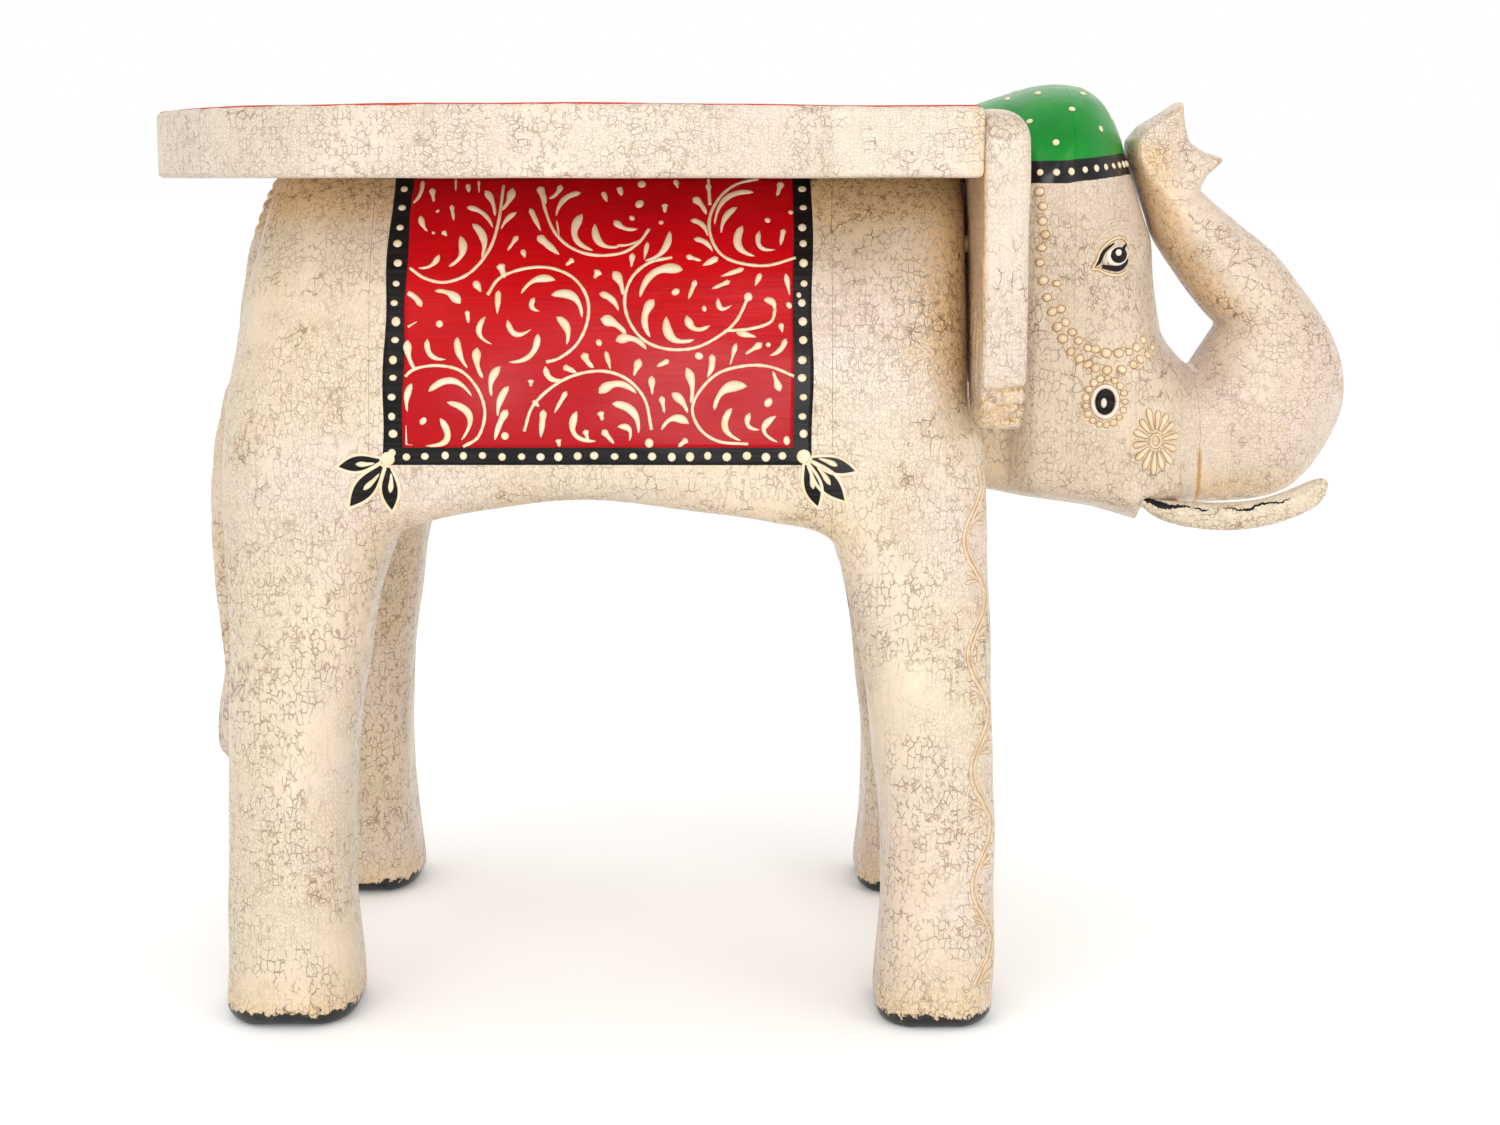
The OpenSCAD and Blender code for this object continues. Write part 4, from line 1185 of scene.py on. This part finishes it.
# Each leaf: head, tail, width, and how far it bends as a share of its length
LEAVES = [
    # the first wheel
    (23.3, 15.2, 26.7, 26, 2.2, -0.2), (19.4, 19, 16.1, 28.8, 2, -0.25), (12.8, 25, 6.1, 29.3, 1.3, -0.2),
    (5.6, 1, 2.5, 9, 1.3, -0.15), (6, 12.5, 8.5, 17.5, 1.6, 0.1), (9, 3.5, 10, 8, 1.5, 0),
    (16, 9, 17, 14, 1.2, 0), (13.5, 17.5, 15, 19, 1.4, 0), (0.5, 15, 1.5, 19, 1.2, 0),
    (26.7, 4.3, 30.5, 12.5, 1.7, -0.1), (35.9, 3.5, 32.4, 10.9, 2, -0.1), (21.1, 9.8, 30, 16.3, 1.6, -0.15),
    (37.6, 11.4, 32.8, 16.8, 1.5, 0.1), (38.4, 19, 35.2, 23.7, 1.3, 0), (20.9, 2.2, 21.4, 4.9, 1.5, 0),
    (16.7, 0.5, 17, 4.5, 0.7, 0), (24.4, 1, 24.8, 5, 0.7, 0),
    # between the first and the second
    (42, 10.1, 45.9, 17.4, 1.6, 0), (45, 19, 52.2, 25, 2.4, 0), (40, 23.4, 41.1, 26, 1.5, 0),
    (44.8, 3, 47.2, 8.7, 2.2, 0), (51.9, 2.4, 48.1, 7, 1.6, -0.15), (58.6, 5.1, 50.8, 12.5, 1.9, 0.2),
    (51, 14, 52.2, 19.6, 0.6, 0),
    # the second wheel
    (59.4, 12, 63.3, 23.7, 2.2, 0.35), (63.7, 15.2, 72, 22.5, 2, 0.3), (71, 22, 79.5, 19.8, 0.8, 0.1),
    (70, 14, 77.8, 16.8, 1.7, 0.15), (71.4, 3.2, 72.3, 6, 1.8, 0), (66, 4.7, 67.5, 8, 1.6, 0),
    (86.7, 8.7, 86.8, 11.5, 1.6, 0), (90, 0.7, 91, 3.5, 1.5, 0), (88.5, 17.5, 80.5, 27, 1.8, -0.2),
    (81.3, 21, 80.2, 26.5, 1.3, 0), (76.3, 24.5, 76, 29, 1.5, 0),
    # left of the third wheel
    (96, 6.7, 100.5, 12, 2, -0.1), (95.3, 14, 101, 19, 1.7, -0.2), (96.5, 20, 102.7, 24, 1.7, -0.15),
    (94, 25.5, 99, 27, 1.4, 0), (104.5, 26, 99.5, 28.5, 2, 0), (101, 2, 101.7, 7, 1.4, 0),
    # the third wheel
    (116.1, 4.9, 103.3, 15.2, 1.8, 0.25), (110.6, 9.8, 105.5, 18, 1.8, 0.15),
    (112.5, 15.8, 116.5, 25.5, 2.4, 0.35), (118.1, 17.4, 123.3, 23.4, 1.5, 0.4),
    (126.1, 16.8, 125, 22, 1.5, 0), (125.5, 1.5, 124, 6, 1.8, 0),
    # the second row, on the left
    (7.4, 41.8, 0, 36.7, 1.8, 0.15), (20, 40.8, 11.7, 36.7, 2.2, 0.15), (24.5, 33.5, 26.8, 37, 2, 0),
    (22.3, 43, 22.8, 47, 1.4, 0), (0, 50, 6, 46.5, 0.9, 0), (32.8, 28, 34.5, 32.5, 2.2, 0),
    (32.5, 36.5, 32.2, 44, 1.8, 0), (28.3, 45, 30.5, 53.8, 1.6, 0.35), (3, 52.5, 5.5, 62, 1.9, 0.1),
    (9.4, 52.2, 15.5, 58.7, 1.7, 0.3), (19.2, 51.6, 22.6, 61.4, 2, 0.1), (25.8, 54.9, 27.6, 64.7, 2, 0.1),
    # the fourth wheel
    (51.1, 33.2, 40, 37.5, 1.9, 0.2), (50, 38, 60, 45.1, 2.4, -0.3), (51.7, 45, 55, 53.8, 2.2, -0.2),
    (44.4, 38.9, 46, 43.2, 1.6, 0.4), (35.6, 46, 43.3, 49, 1.7, 0.4), (45.6, 50.5, 36.1, 59.6, 1.8, -0.25),
    # between the fourth and the fifth
    (65.5, 30, 63.9, 32.6, 2, 0), (70, 30.4, 73.3, 38, 2.2, -0.1), (65.6, 37.5, 71.9, 43, 2, -0.15),
    (66.1, 45.6, 74.4, 50.5, 2.6, -0.1), (71.1, 52.7, 81.1, 55.4, 2.2, -0.2),
    (60.6, 56.5, 63.9, 61.4, 2, 0.1), (67.8, 56, 69.4, 62, 1.4, 0), (53.9, 61, 58.3, 63, 1.8, 0),
    (48, 61, 53.9, 65.2, 1.8, 0.3), (43.3, 65.2, 43.3, 67.5, 1.4, 0), (57, 26.5, 54.5, 28.5, 1.5, 0),
    # the fifth wheel
    (92.8, 29.9, 78.9, 38.6, 2.6, 0.25), (83.5, 39.5, 82.3, 51.5, 2.4, 0.2),
    (87.6, 45, 96.7, 52.4, 2.4, 0.35), (97.2, 33.2, 94.8, 39.3, 1.5, 0),
    (94.2, 44.6, 101.9, 47.8, 1.9, 0.35), (104.5, 39, 108.9, 41.3, 1.5, 0.5),
    # the second row, on the right
    (113, 29.5, 105.5, 32, 1.5, 0), (108.5, 33.5, 102.5, 36, 1.4, 0), (118.5, 31, 116.7, 35, 1.6, 0),
    (126.7, 31, 128, 38, 1.4, 0), (119.5, 39.5, 123, 43.5, 2, -0.3), (125, 47, 125.6, 50, 1.5, 0),
    (110.5, 50, 117, 51.5, 1.8, 0), (110.5, 53.5, 108.5, 60.5, 1.2, 0), (119, 53.5, 113.5, 57, 1.6, 0),
    (126.7, 52, 121.5, 57.5, 1.7, -0.15), (102.5, 57, 101, 64.5, 2, -0.1),
    (94.2, 61.4, 95.6, 72.8, 2, -0.1), (88.5, 59, 84.5, 61, 1.6, 0), (79, 58.5, 77, 64, 2, 0),
    (82.8, 64, 83, 70, 1.8, 0), (89.4, 69.6, 94.6, 76, 2.2, -0.1), (86, 70.5, 87, 76, 1.4, 0),
    (95, 79.5, 86, 81.5, 2, 0.3), (94.5, 84.5, 91.5, 87, 1.6, 0),
    # the sixth wheel
    (4.5, 66.5, 3, 75.5, 1.8, 0.1), (10, 69, 24, 70.5, 2, -0.3), (16, 72.5, 20.6, 84.8, 2, -0.4),
    (13.7, 77.7, 8.9, 86.7, 2, -0.5), (2.5, 80, 4.5, 86.5, 1.2, 0.6), (33.3, 61, 30.5, 70.5, 2, 0.15),
    (36, 67.5, 32.5, 77, 2, 0.1), (35.6, 75, 31.5, 84.8, 2, 0.05),
    # the seventh wheel
    (55, 69, 51, 76, 1.4, 0), (47.5, 75, 46.5, 84, 2, 0), (65.6, 69.6, 77.8, 69.6, 2.4, -0.25),
    (70, 73, 78.5, 82.5, 2.4, -0.25), (58.3, 75.5, 64.5, 85.2, 1.8, 0.4), (66, 75.5, 66.8, 78.5, 1.7, 0),
    (61, 81.5, 62, 85, 1.5, 0), (66.7, 81.5, 70.5, 86, 1.7, 0), (71.7, 80.5, 75.5, 85, 1.6, -0.4),
    (52.2, 84.5, 52.6, 87, 1.5, 0), (44, 72, 46, 74, 1.5, 0),
    # the eighth wheel
    (113.9, 67.4, 103.3, 75, 2.6, 0.25), (109, 74.5, 112, 85, 2, 0.35), (115, 76, 118, 81.5, 1.5, 0.4),
    (123.5, 77, 124, 85.5, 1.6, 0.5), (124.8, 69, 122.5, 62.5, 1.8, 0),
]
SPOTS = [
    (11.5, 11, 0.6), (2.8, 22.3, 0.8), (10.5, 18, 0.5), (75.9, 13.3, 0.9), (78.3, 8.7, 1.4),
    (78.9, 2.2, 1.2), (85.6, 14.7, 0.7), (120.8, 14, 0.9), (128.5, 11.4, 0.7), (13.3, 47.3, 1),
    (65.6, 53.3, 1), (90.6, 37, 1.2), (100, 42.4, 0.9), (114.4, 38.6, 1.2), (127.8, 41.3, 1),
    (131, 38, 0.8), (98.3, 57.6, 1.2), (82, 85.8, 1.2), (121, 54, 0.7), (8.1, 78.6, 1.2), (34.8, 83.5, 1.1),
    (121, 72.6, 1.4), (127, 85, 1.3),
]


def make_saddle(skin):
    dice = random.Random(11)
    x0, x1, low = CLOTH
    f0, f1, field_low = FIELD

    def lean(z):
        """How far the cloth's rear edge leans forward at a height."""
        return 1 + 1.9 * (z - low) / (FIELD_TOP - low)

    def border(z):
        return x0 + lean(z) + 0.35 * math.sin(z / 6), x1 + 0.35 * math.sin(z / 7 + 2)

    def field(z):
        return f0 + lean(z) + 0.25 * math.sin(z / 5 + 1), f1 + 0.25 * math.sin(z / 8)

    for hand, word in HANDS:
        heights = np.linspace(low, FIELD_TOP, 75)
        sheet_of_paint(skin, heights, border, 0.10, f"cloth_border.{word}", BLACK_PAINT, hand)
        heights = np.linspace(field_low, FIELD_TOP, 75)
        sheet_of_paint(skin, heights, field, 0.22, f"cloth_field.{word}", RED_PAINT, hand)
        ink = Ink()

        def on(u, v):
            least = lean(FIELD_TOP - v) + 0.4
            spot = skin.side(f0 + u, FIELD_TOP - v, hand) if least <= u <= 131 and v <= 88 else None
            return spot and (spot[0] + spot[1] * 0.2, spot[1])

        for stem in STEMS:
            line = spline(stem, 7)
            ink.stroke([on(u, v) for u, v in line], [0.95 + 0.3 * dice.random() for _ in line], 0.4)
        for u0, v0, u1, v1, width, bend in LEAVES:
            count = max(9, int(math.hypot(u1 - u0, v1 - v0) * 1.3))
            line = bent((u0, v0), (u1, v1), bend, count)
            blobs = 1 + 0.16 * np.sin(np.linspace(0, 9, count) + dice.uniform(0, 6))
            widths = leaf_widths(count, width * 1.36, tail=0.32) * blobs
            ink.stroke([on(u, v) for u, v in line], widths, 0.32)
        for u, v, r in SPOTS:
            ink.dot(on(u, v), r * 1.2, 0.4, squash=dice.uniform(0.7, 1.1), turn=dice.uniform(0, 3))
        ink.piece(f"cloth_scrolls.{word}", [SLIP_PAINT], "saddle_paint")
        dots = Ink()

        def edge(x, z):
            place, normal = skin.side(x, z, hand)
            return place + normal * 0.1, normal

        for k in range(15):
            z = 191 + 6.1 * k + dice.uniform(-0.5, 0.5)
            for x in ((x0 + f0) / 2 + lean(z), (x1 + f1) / 2):
                place = edge(x + dice.uniform(-0.4, 0.4), z)
                dots.dot(place, 1.4 * dice.uniform(0.85, 1.1), 0.4, squash=dice.uniform(0.8, 1.1))
        for k in range(1, 22):
            x = x0 + 3.2 + 6.15 * k + dice.uniform(-0.5, 0.5)
            place = edge(x, (low + field_low) / 2 + dice.uniform(-0.3, 0.3))
            dots.dot(place, 1.4 * dice.uniform(0.85, 1.1), 0.4, squash=dice.uniform(0.8, 1.1))
        dots.piece(f"cloth_dots.{word}", [SLIP_PAINT], "saddle_paint")
        for name, centre, petals in TREFOILS:
            make_trefoil(skin, centre, petals, hand, f"trefoil_{name}.{word}")


# Each: where its petals meet, and each petal's direction in degrees, length and half width
TREFOILS = [
    ("rear", (-120.7, 189), [(189, 17.2, 2.9), (231, 21, 3.5), (273, 18, 3.1)]),
    ("front", (15.6, 189.8), [(-15.7, 18.5, 2.8), (-47, 20.6, 3.4), (-74, 18, 3.0)]),
]


def make_trefoil(skin, centre, petals, hand, name):
    """Black petals with raised cream outlines, and a small stroke in each."""
    ink = Ink()
    c = np.array(centre)
    for angle, reach, half in petals:
        a = math.radians(angle)
        d, n = np.array([math.cos(a), math.sin(a)]), np.array([-math.sin(a), math.cos(a)])
        t = np.linspace(0.13, 1, 24)
        width = half * np.sin(math.pi * np.clip(t, 0.02, 0.985) ** 1.25)
        ink.film(pressed(skin, hand, [c + d * reach * q for q in t], width), 0.14, 1)
        rim = [c + d * reach * q + n * w for q, w in zip(t, width)]
        rim += [c + d * reach * q - n * w for q, w in zip(t[::-1], width[::-1])]
        rim.append(rim[0])
        ink.stroke([skin.side(x, z, hand) for x, z in rim], [1.15] * len(rim), 0.45)
        line = [c + d * reach * q + n * half * 0.25 * math.sin(5 * q) for q in np.linspace(0.62, 0.26, 9)]
        places = [skin.side(x, z, hand) for x, z in line]
        ink.stroke([(p + m * 0.14, m) for p, m in places], leaf_widths(9, 1.9, 0.35, 0.3), 0.35)
    ink.dot(skin.side(*centre, hand), 2.4, 0.2, sides=16)
    ink.piece(name, [SLIP_PAINT, BLACK_PAINT], "saddle_paint")


# The face's ornaments

EYE, BUTTON, FLOWER = (123.6, 254.3), (120.0, 204.0), (138.1, 190.2)
PEARLS_OUTER = [
    (96.3, 275.4), (97.5, 270.5), (97.5, 265.5), (98.5, 260.9), (97.3, 256.5), (96.8, 251.4), (98, 245.4),
    (99.4, 239.6), (101.3, 234.8), (103.2, 229.6), (105, 225.6), (107.8, 221.2), (110.9, 218.8),
    (113.8, 216.9), (116.4, 215.6), (120.4, 214.9), (125.5, 215.1), (129.7, 216.6), (132.2, 218.3),
    (135.3, 219.5), (137.7, 221.7),
]
PEARLS_INNER = [
    (102.6, 244.4), (104.2, 235.7), (105.8, 231.2), (108.3, 227.8), (110.4, 224.9), (113.6, 222.4),
    (116.3, 222), (120, 220.7), (124.3, 220.7), (128.1, 221), (131, 222.4), (133.8, 224.6),
]


# The eye's lines, in millimetres from EYE: a point and, for the painted ones, the line's width there
UPPER_LID = [(-7.9, -3.9, 0.9), (-6.3, -2.4, 1.6), (-4.7, 0.4, 1.3), (-2.8, 2.2, 1.0), (-0.8, 3.5, 0.5)]
LOWER_LID = [
    (-5.3, -4.2, 1.3), (-3.0, -4.7, 1.8), (0, -5.1, 2.1), (2.0, -4.7, 1.8), (3.7, -3.5, 1.3),
    (4.6, -2.0, 0.7),
]
IRIS_POINT = [(2.0, 0.6, 1.6), (3.1, 2.0, 1.3), (4.0, 3.3, 0.5)]
LID_RIDGES = [
    [(-8.9, -5.1), (-7.2, -2.4), (-5.9, 0.8), (-3.3, 3.6), (-0.5, 5.2), (1.9, 5.4), (3.9, 4.2), (5.2, 1.8)],
    [(-8.9, -5.1), (-6.4, -5.3), (-4.2, -6.4), (-1.4, -7.2), (1.4, -7.2), (3.8, -6.2)],
]
BROWS = [
    [(-9.0, 1.5), (-6.6, 5.3), (-3.4, 7.9), (0.6, 9.0), (4.2, 8.6)],
    [(-5.6, 8.8), (-2, 11.0), (2.4, 11.6), (5, 11.0)],
]


def around(centre, points):
    return [(centre[0] + a, centre[1] + b) for a, b in points]


def oval(a, b, count=40, start=0.0, end=2 * math.pi):
    return [(a * math.cos(t), b * math.sin(t)) for t in np.linspace(start, end, count)]


# The eye's white, its iris and its light: middle, half its length, half its height, material and lift
EYE_FILMS = [
    ((0.6, -0.9), 4.1, 3.3, 4, 0.2), ((1.0, -0.5), 3.1, 2.75, 1, 0.32), ((0.8, 0.35), 1.1, 1.1, 4, 0.45),
]


def outlined(ink, places, widths, height, mark, under, margin):
    """A stroke of paint over a wider, flatter stroke of another."""
    ink.stroke(places, np.asarray(widths) + 2 * margin, 0.12, under)
    ink.stroke(places, widths, height, mark)


def make_face(skin):
    dice = random.Random(5)
    for hand, word in HANDS:

        def lay(places, lift=0.0):
            spots = [skin.side(x, z, hand) for x, z in places]
            return [spot and (spot[0] + spot[1] * lift, spot[1]) for spot in spots]

        eye = Ink()
        for centre, half, tall, mark, lift in EYE_FILMS:
            share = np.linspace(-0.995, 0.995, 17)
            spine = [(EYE[0] + centre[0] + half * q, EYE[1] + centre[1] + 0.12 * half * q) for q in share]
            eye.film(pressed(skin, hand, spine, tall * np.sqrt(1 - share**2)), lift, mark)
        for line in (UPPER_LID, LOWER_LID, IRIS_POINT):
            path = spline(line, 6)
            eye.stroke(lay(around(EYE, path[:, :2]), 0.22), path[:, 2], 0.12, 1)
        for ridge in LID_RIDGES:
            line = spline(ridge, 6)
            outlined(eye, lay(around(EYE, line)), np.full(len(line), 0.85), 0.5, 0, 3, 0.28)
        for ridge in BROWS:
            line = spline(ridge, 7)
            widths = 0.5 + 0.8 * np.sin(np.linspace(0.2, math.pi - 0.3, len(line)))
            eye.stroke(lay(around(EYE, line)), widths, 0.45, 2)
        paints = [PEARL_PAINT, BLACK_PAINT, TRUNK_PAINT, OUTLINE_PAINT, WHITE_PAINT]
        eye.piece(f"eye.{word}", paints, "head_paint")
        pearls = Ink()
        for x, z in PEARLS_OUTER + PEARLS_INNER:
            place = skin.side(x, z, hand)
            r, squash, turn = dice.uniform(1.3, 1.75), dice.uniform(0.72, 0.92), dice.uniform(-0.6, 0.6)
            pearls.dot(place, r + 0.34, 0.07, 1, (r * squash + 0.34) / (r + 0.34), turn)
            pearls.dot(place, r, 0.5, 0, squash, turn)
        pearls.piece(f"pearls.{word}", [PEARL_PAINT, OUTLINE_PAINT], "head_paint")
        button = Ink()
        share = np.linspace(-0.995, 0.995, 19)
        spine = [(BUTTON[0], BUTTON[1] + 4.4 * q) for q in share]
        button.film(pressed(skin, hand, spine, 3.3 * np.sqrt(1 - share**2)), 0.3, 1)
        middle = skin.side(BUTTON[0] - 0.5, BUTTON[1] - 0.4, hand)
        button.dot((middle[0] + middle[1] * 0.28, middle[1]), 1.75, 0.35, 0, squash=0.6, turn=math.pi / 2)
        ring = lay(around(BUTTON, oval(4.3, 5.3, 48)))
        outlined(button, ring, [1.5] * 48, 0.4, 0, 2, 0.25)
        for k in range(17):
            t = 2 * math.pi * k / 17
            place = skin.side(BUTTON[0] + 6.8 * math.cos(t), BUTTON[1] + 8.1 * math.sin(t), hand)
            r, squash = dice.uniform(1.0, 1.3), dice.uniform(0.8, 1.0)
            button.dot(place, r + 0.3, 0.07, 2, squash)
            button.dot(place, r, 0.5, 3, squash)
        paints = [WHITE_PAINT, BLACK_PAINT, OUTLINE_PAINT, PEARL_PAINT]
        button.piece(f"button.{word}", paints, "head_paint")
        flower = Ink()
        for k in range(14):
            t = 2 * math.pi * (k + 0.3) / 14
            c, s = math.cos(t), math.sin(t)
            far = dice.uniform(0.92, 1.1)
            line = [(FLOWER[0] + q * 8.2 * c, FLOWER[1] + q * 11.2 * s) for q in np.linspace(far, 0.34, 11)]
            outlined(flower, lay(line), leaf_widths(11, 2.1, 0.3, 0.4), 0.42, 0, 1, 0.3)
        outlined(flower, lay(around(FLOWER, oval(1.9, 2.2, 24))), [0.9] * 24, 0.5, 0, 1, 0.25)
        flower.dot(skin.side(*FLOWER, hand), 0.7, 0.5)
        flower.piece(f"flower.{word}", [PEARL_PAINT, OUTLINE_PAINT], "head_paint")


def make_cap_dots(skin):
    """Dots round the black band, and scattered over the green cap."""
    dice = random.Random(3)
    axis = np.array([105.0, 0.0])
    ink = Ink()
    middle = (BAND_LOW + BAND_HIGH) / 2 + 0.1
    last = None
    for a in np.linspace(-2.2, 2.2, 900):
        d = np.array([math.cos(a), math.sin(a)])
        reach = 33 * max(d[0], 0)
        z = middle + 0.12 * reach
        hit = skin.at((*(axis + d * 150), z), (-d[0], -d[1], 0.0))
        if hit is None or hit[0][0] < 88:
            continue
        z = middle + 0.12 * max(hit[0][0] - 105, 0)
        hit = skin.at((*(axis + d * 150), z), (-d[0], -d[1], 0.0))
        if last is None or np.linalg.norm(hit[0] - last) >= 5.4:
            radius, squash, turn = dice.uniform(1.15, 1.4), dice.uniform(0.78, 1.05), dice.uniform(0, 3)
            ink.dot(hit, radius, 0.4, squash=squash, turn=turn)
            last = hit[0]
    placed = []
    for _ in range(900):
        a, up = dice.uniform(-math.pi, math.pi), dice.uniform(0.0, 1.0)
        d = np.array([math.cos(a) * math.sqrt(1 - up * up), math.sin(a) * math.sqrt(1 - up * up), up])
        start = np.array([105.0, 0.0, 284.0])
        hit = skin.at(start + d * 120, -d)
        if hit is None or hit[0][0] < 88 or hit[0][2] < BAND_HIGH + 3.2 + 0.12 * max(hit[0][0] - 105, 0):
            continue
        if all(np.linalg.norm(hit[0] - q) > 11.5 for q in placed):
            placed.append(hit[0])
            radius, squash, turn = dice.uniform(1.1, 1.45), dice.uniform(0.75, 1.1), dice.uniform(0, 3)
            ink.dot(hit, radius, 0.45, squash=squash, turn=turn)
    ink.piece("cap_dots", [SLIP_PAINT], "head_paint")


# The vines down the front legs


def make_vines(skin):
    """Low double lines that wave down the front edge of each front leg, with a leaf in each bend."""
    dice = random.Random(7)
    front = spline(CHEST)

    def wave(z, inset):
        edge = np.interp(z, front[:, 1], front[:, 0])
        return edge - inset - 3.2 * math.sin(2 * math.pi * z / 38)

    for hand, word in HANDS:
        ink = Ink()
        for inset, width in ((5.6, 0.8), (4.2, 0.7)):
            stem = [(wave(z, inset), z) for z in np.linspace(14, 186, 120)]
            widths = [width + 0.3 * dice.random() for _ in stem]
            outlined(ink, [skin.side(x, z, hand) for x, z in stem], widths, 0.4, 0, 1, 0.2)
        for k in range(9):
            z0 = 18 + 19 * k
            way = 1 if k % 2 else -1
            for rise in (-3.5, 0.5, 4.5):
                tip = (wave(z0, 4.9) - way * 4.2, z0 + rise)
                line = bent(tip, (wave(z0, 4.9), z0 - 3), 0.12 * way, 9)
                places = [skin.side(min(x, wave(z, 0) + 2.2), z, hand) for x, z in line]
                outlined(ink, places, leaf_widths(9, 1.3, 0.35, 0.3), 0.4, 0, 1, 0.2)
        ink.piece(f"vine.{word}", [VINE_PAINT, VINE_LINE_PAINT], "crackle_paint")


# Everything that the frame still shows: dowels, pins and screws, inside the blocks


def finish_fixings():
    for node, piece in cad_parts.items():
        if piece.hide_render:
            continue
        material = STEEL if "screws" in node else BARE_WOOD
        piece.data.materials.clear()
        piece.data.materials.append(material)


# The studio


FLOOR_REACH = 40000
# Each light: its name, its place and size in metres, and its power in watts
LIGHTS = [
    ("key", (-0.9, -1.5, 1.6), 1.0, 5), ("fill", (1.5, -1.4, 0.9), 0.8, 4),
    ("back", (0.2, 1.6, 1.5), 1.5, 4), ("front", (0.15, -1.75, 0.6), 0.6, 10),
]
LIT_MIDDLE = Vector((0, 0, 0.17))
WHITE = (1, 1, 1, 1)


def make_studio():
    r = FLOOR_REACH
    paper = Tree("paper")
    paper.shade("Base Color", (0.97, 0.97, 0.97, 1))
    paper.shade("Roughness", 0.9)
    paper.shade("Specular IOR Level", 0.1)
    paper.shade("Emission Color", WHITE)
    paper.shade("Emission Strength", 0.04)
    corners = [(-r, -r, 0), (r, -r, 0), (r, r, 0), (-r, r, 0)]
    floor = new_object("floor", corners, [(0, 1, 2, 3)], [paper.material])
    world = bpy.data.worlds.new("studio")
    bpy.context.scene.world = world
    world.use_nodes = True
    world.node_tree.nodes["Background"].inputs["Color"].default_value = WHITE
    world.node_tree.nodes["Background"].inputs["Strength"].default_value = 1.0
    for name, place, size, power in LIGHTS:
        light = bpy.data.objects.new(name, bpy.data.lights.new(name, "AREA"))
        light.data.energy = power
        light.data.size = size
        light.location = place
        light.rotation_euler = (LIT_MIDDLE - Vector(place)).to_track_quat("-Z", "Y").to_euler()
        bpy.context.scene.collection.objects.link(light)


CAMERA_PLACE, CAMERA_DOWN, CAMERA_LENS = (-0.002, -0.912, 0.280), 8.66, 60.6


def make_camera():
    """Level with the seat in front of the cloth, and turned down a little, as the photo was taken."""
    camera = bpy.data.objects.new("camera", bpy.data.cameras.new("camera"))
    camera.data.lens = CAMERA_LENS
    camera.data.sensor_width = 36
    camera.location = CAMERA_PLACE
    camera.rotation_euler = (math.radians(90 - CAMERA_DOWN), 0, 0)
    bpy.context.scene.collection.objects.link(camera)
    bpy.context.scene.camera = camera
    bpy.context.scene.view_settings.view_transform = "Standard"


body_skin = make_body()
head_skin = make_head()
make_trunk()
make_ears()
make_tusks()
make_tail()
seat_skin = make_seat()
make_seat_top(seat_skin)
make_saddle(body_skin)
make_face(head_skin)
make_cap_dots(head_skin)
make_vines(body_skin)
finish_fixings()
make_studio()
make_camera()
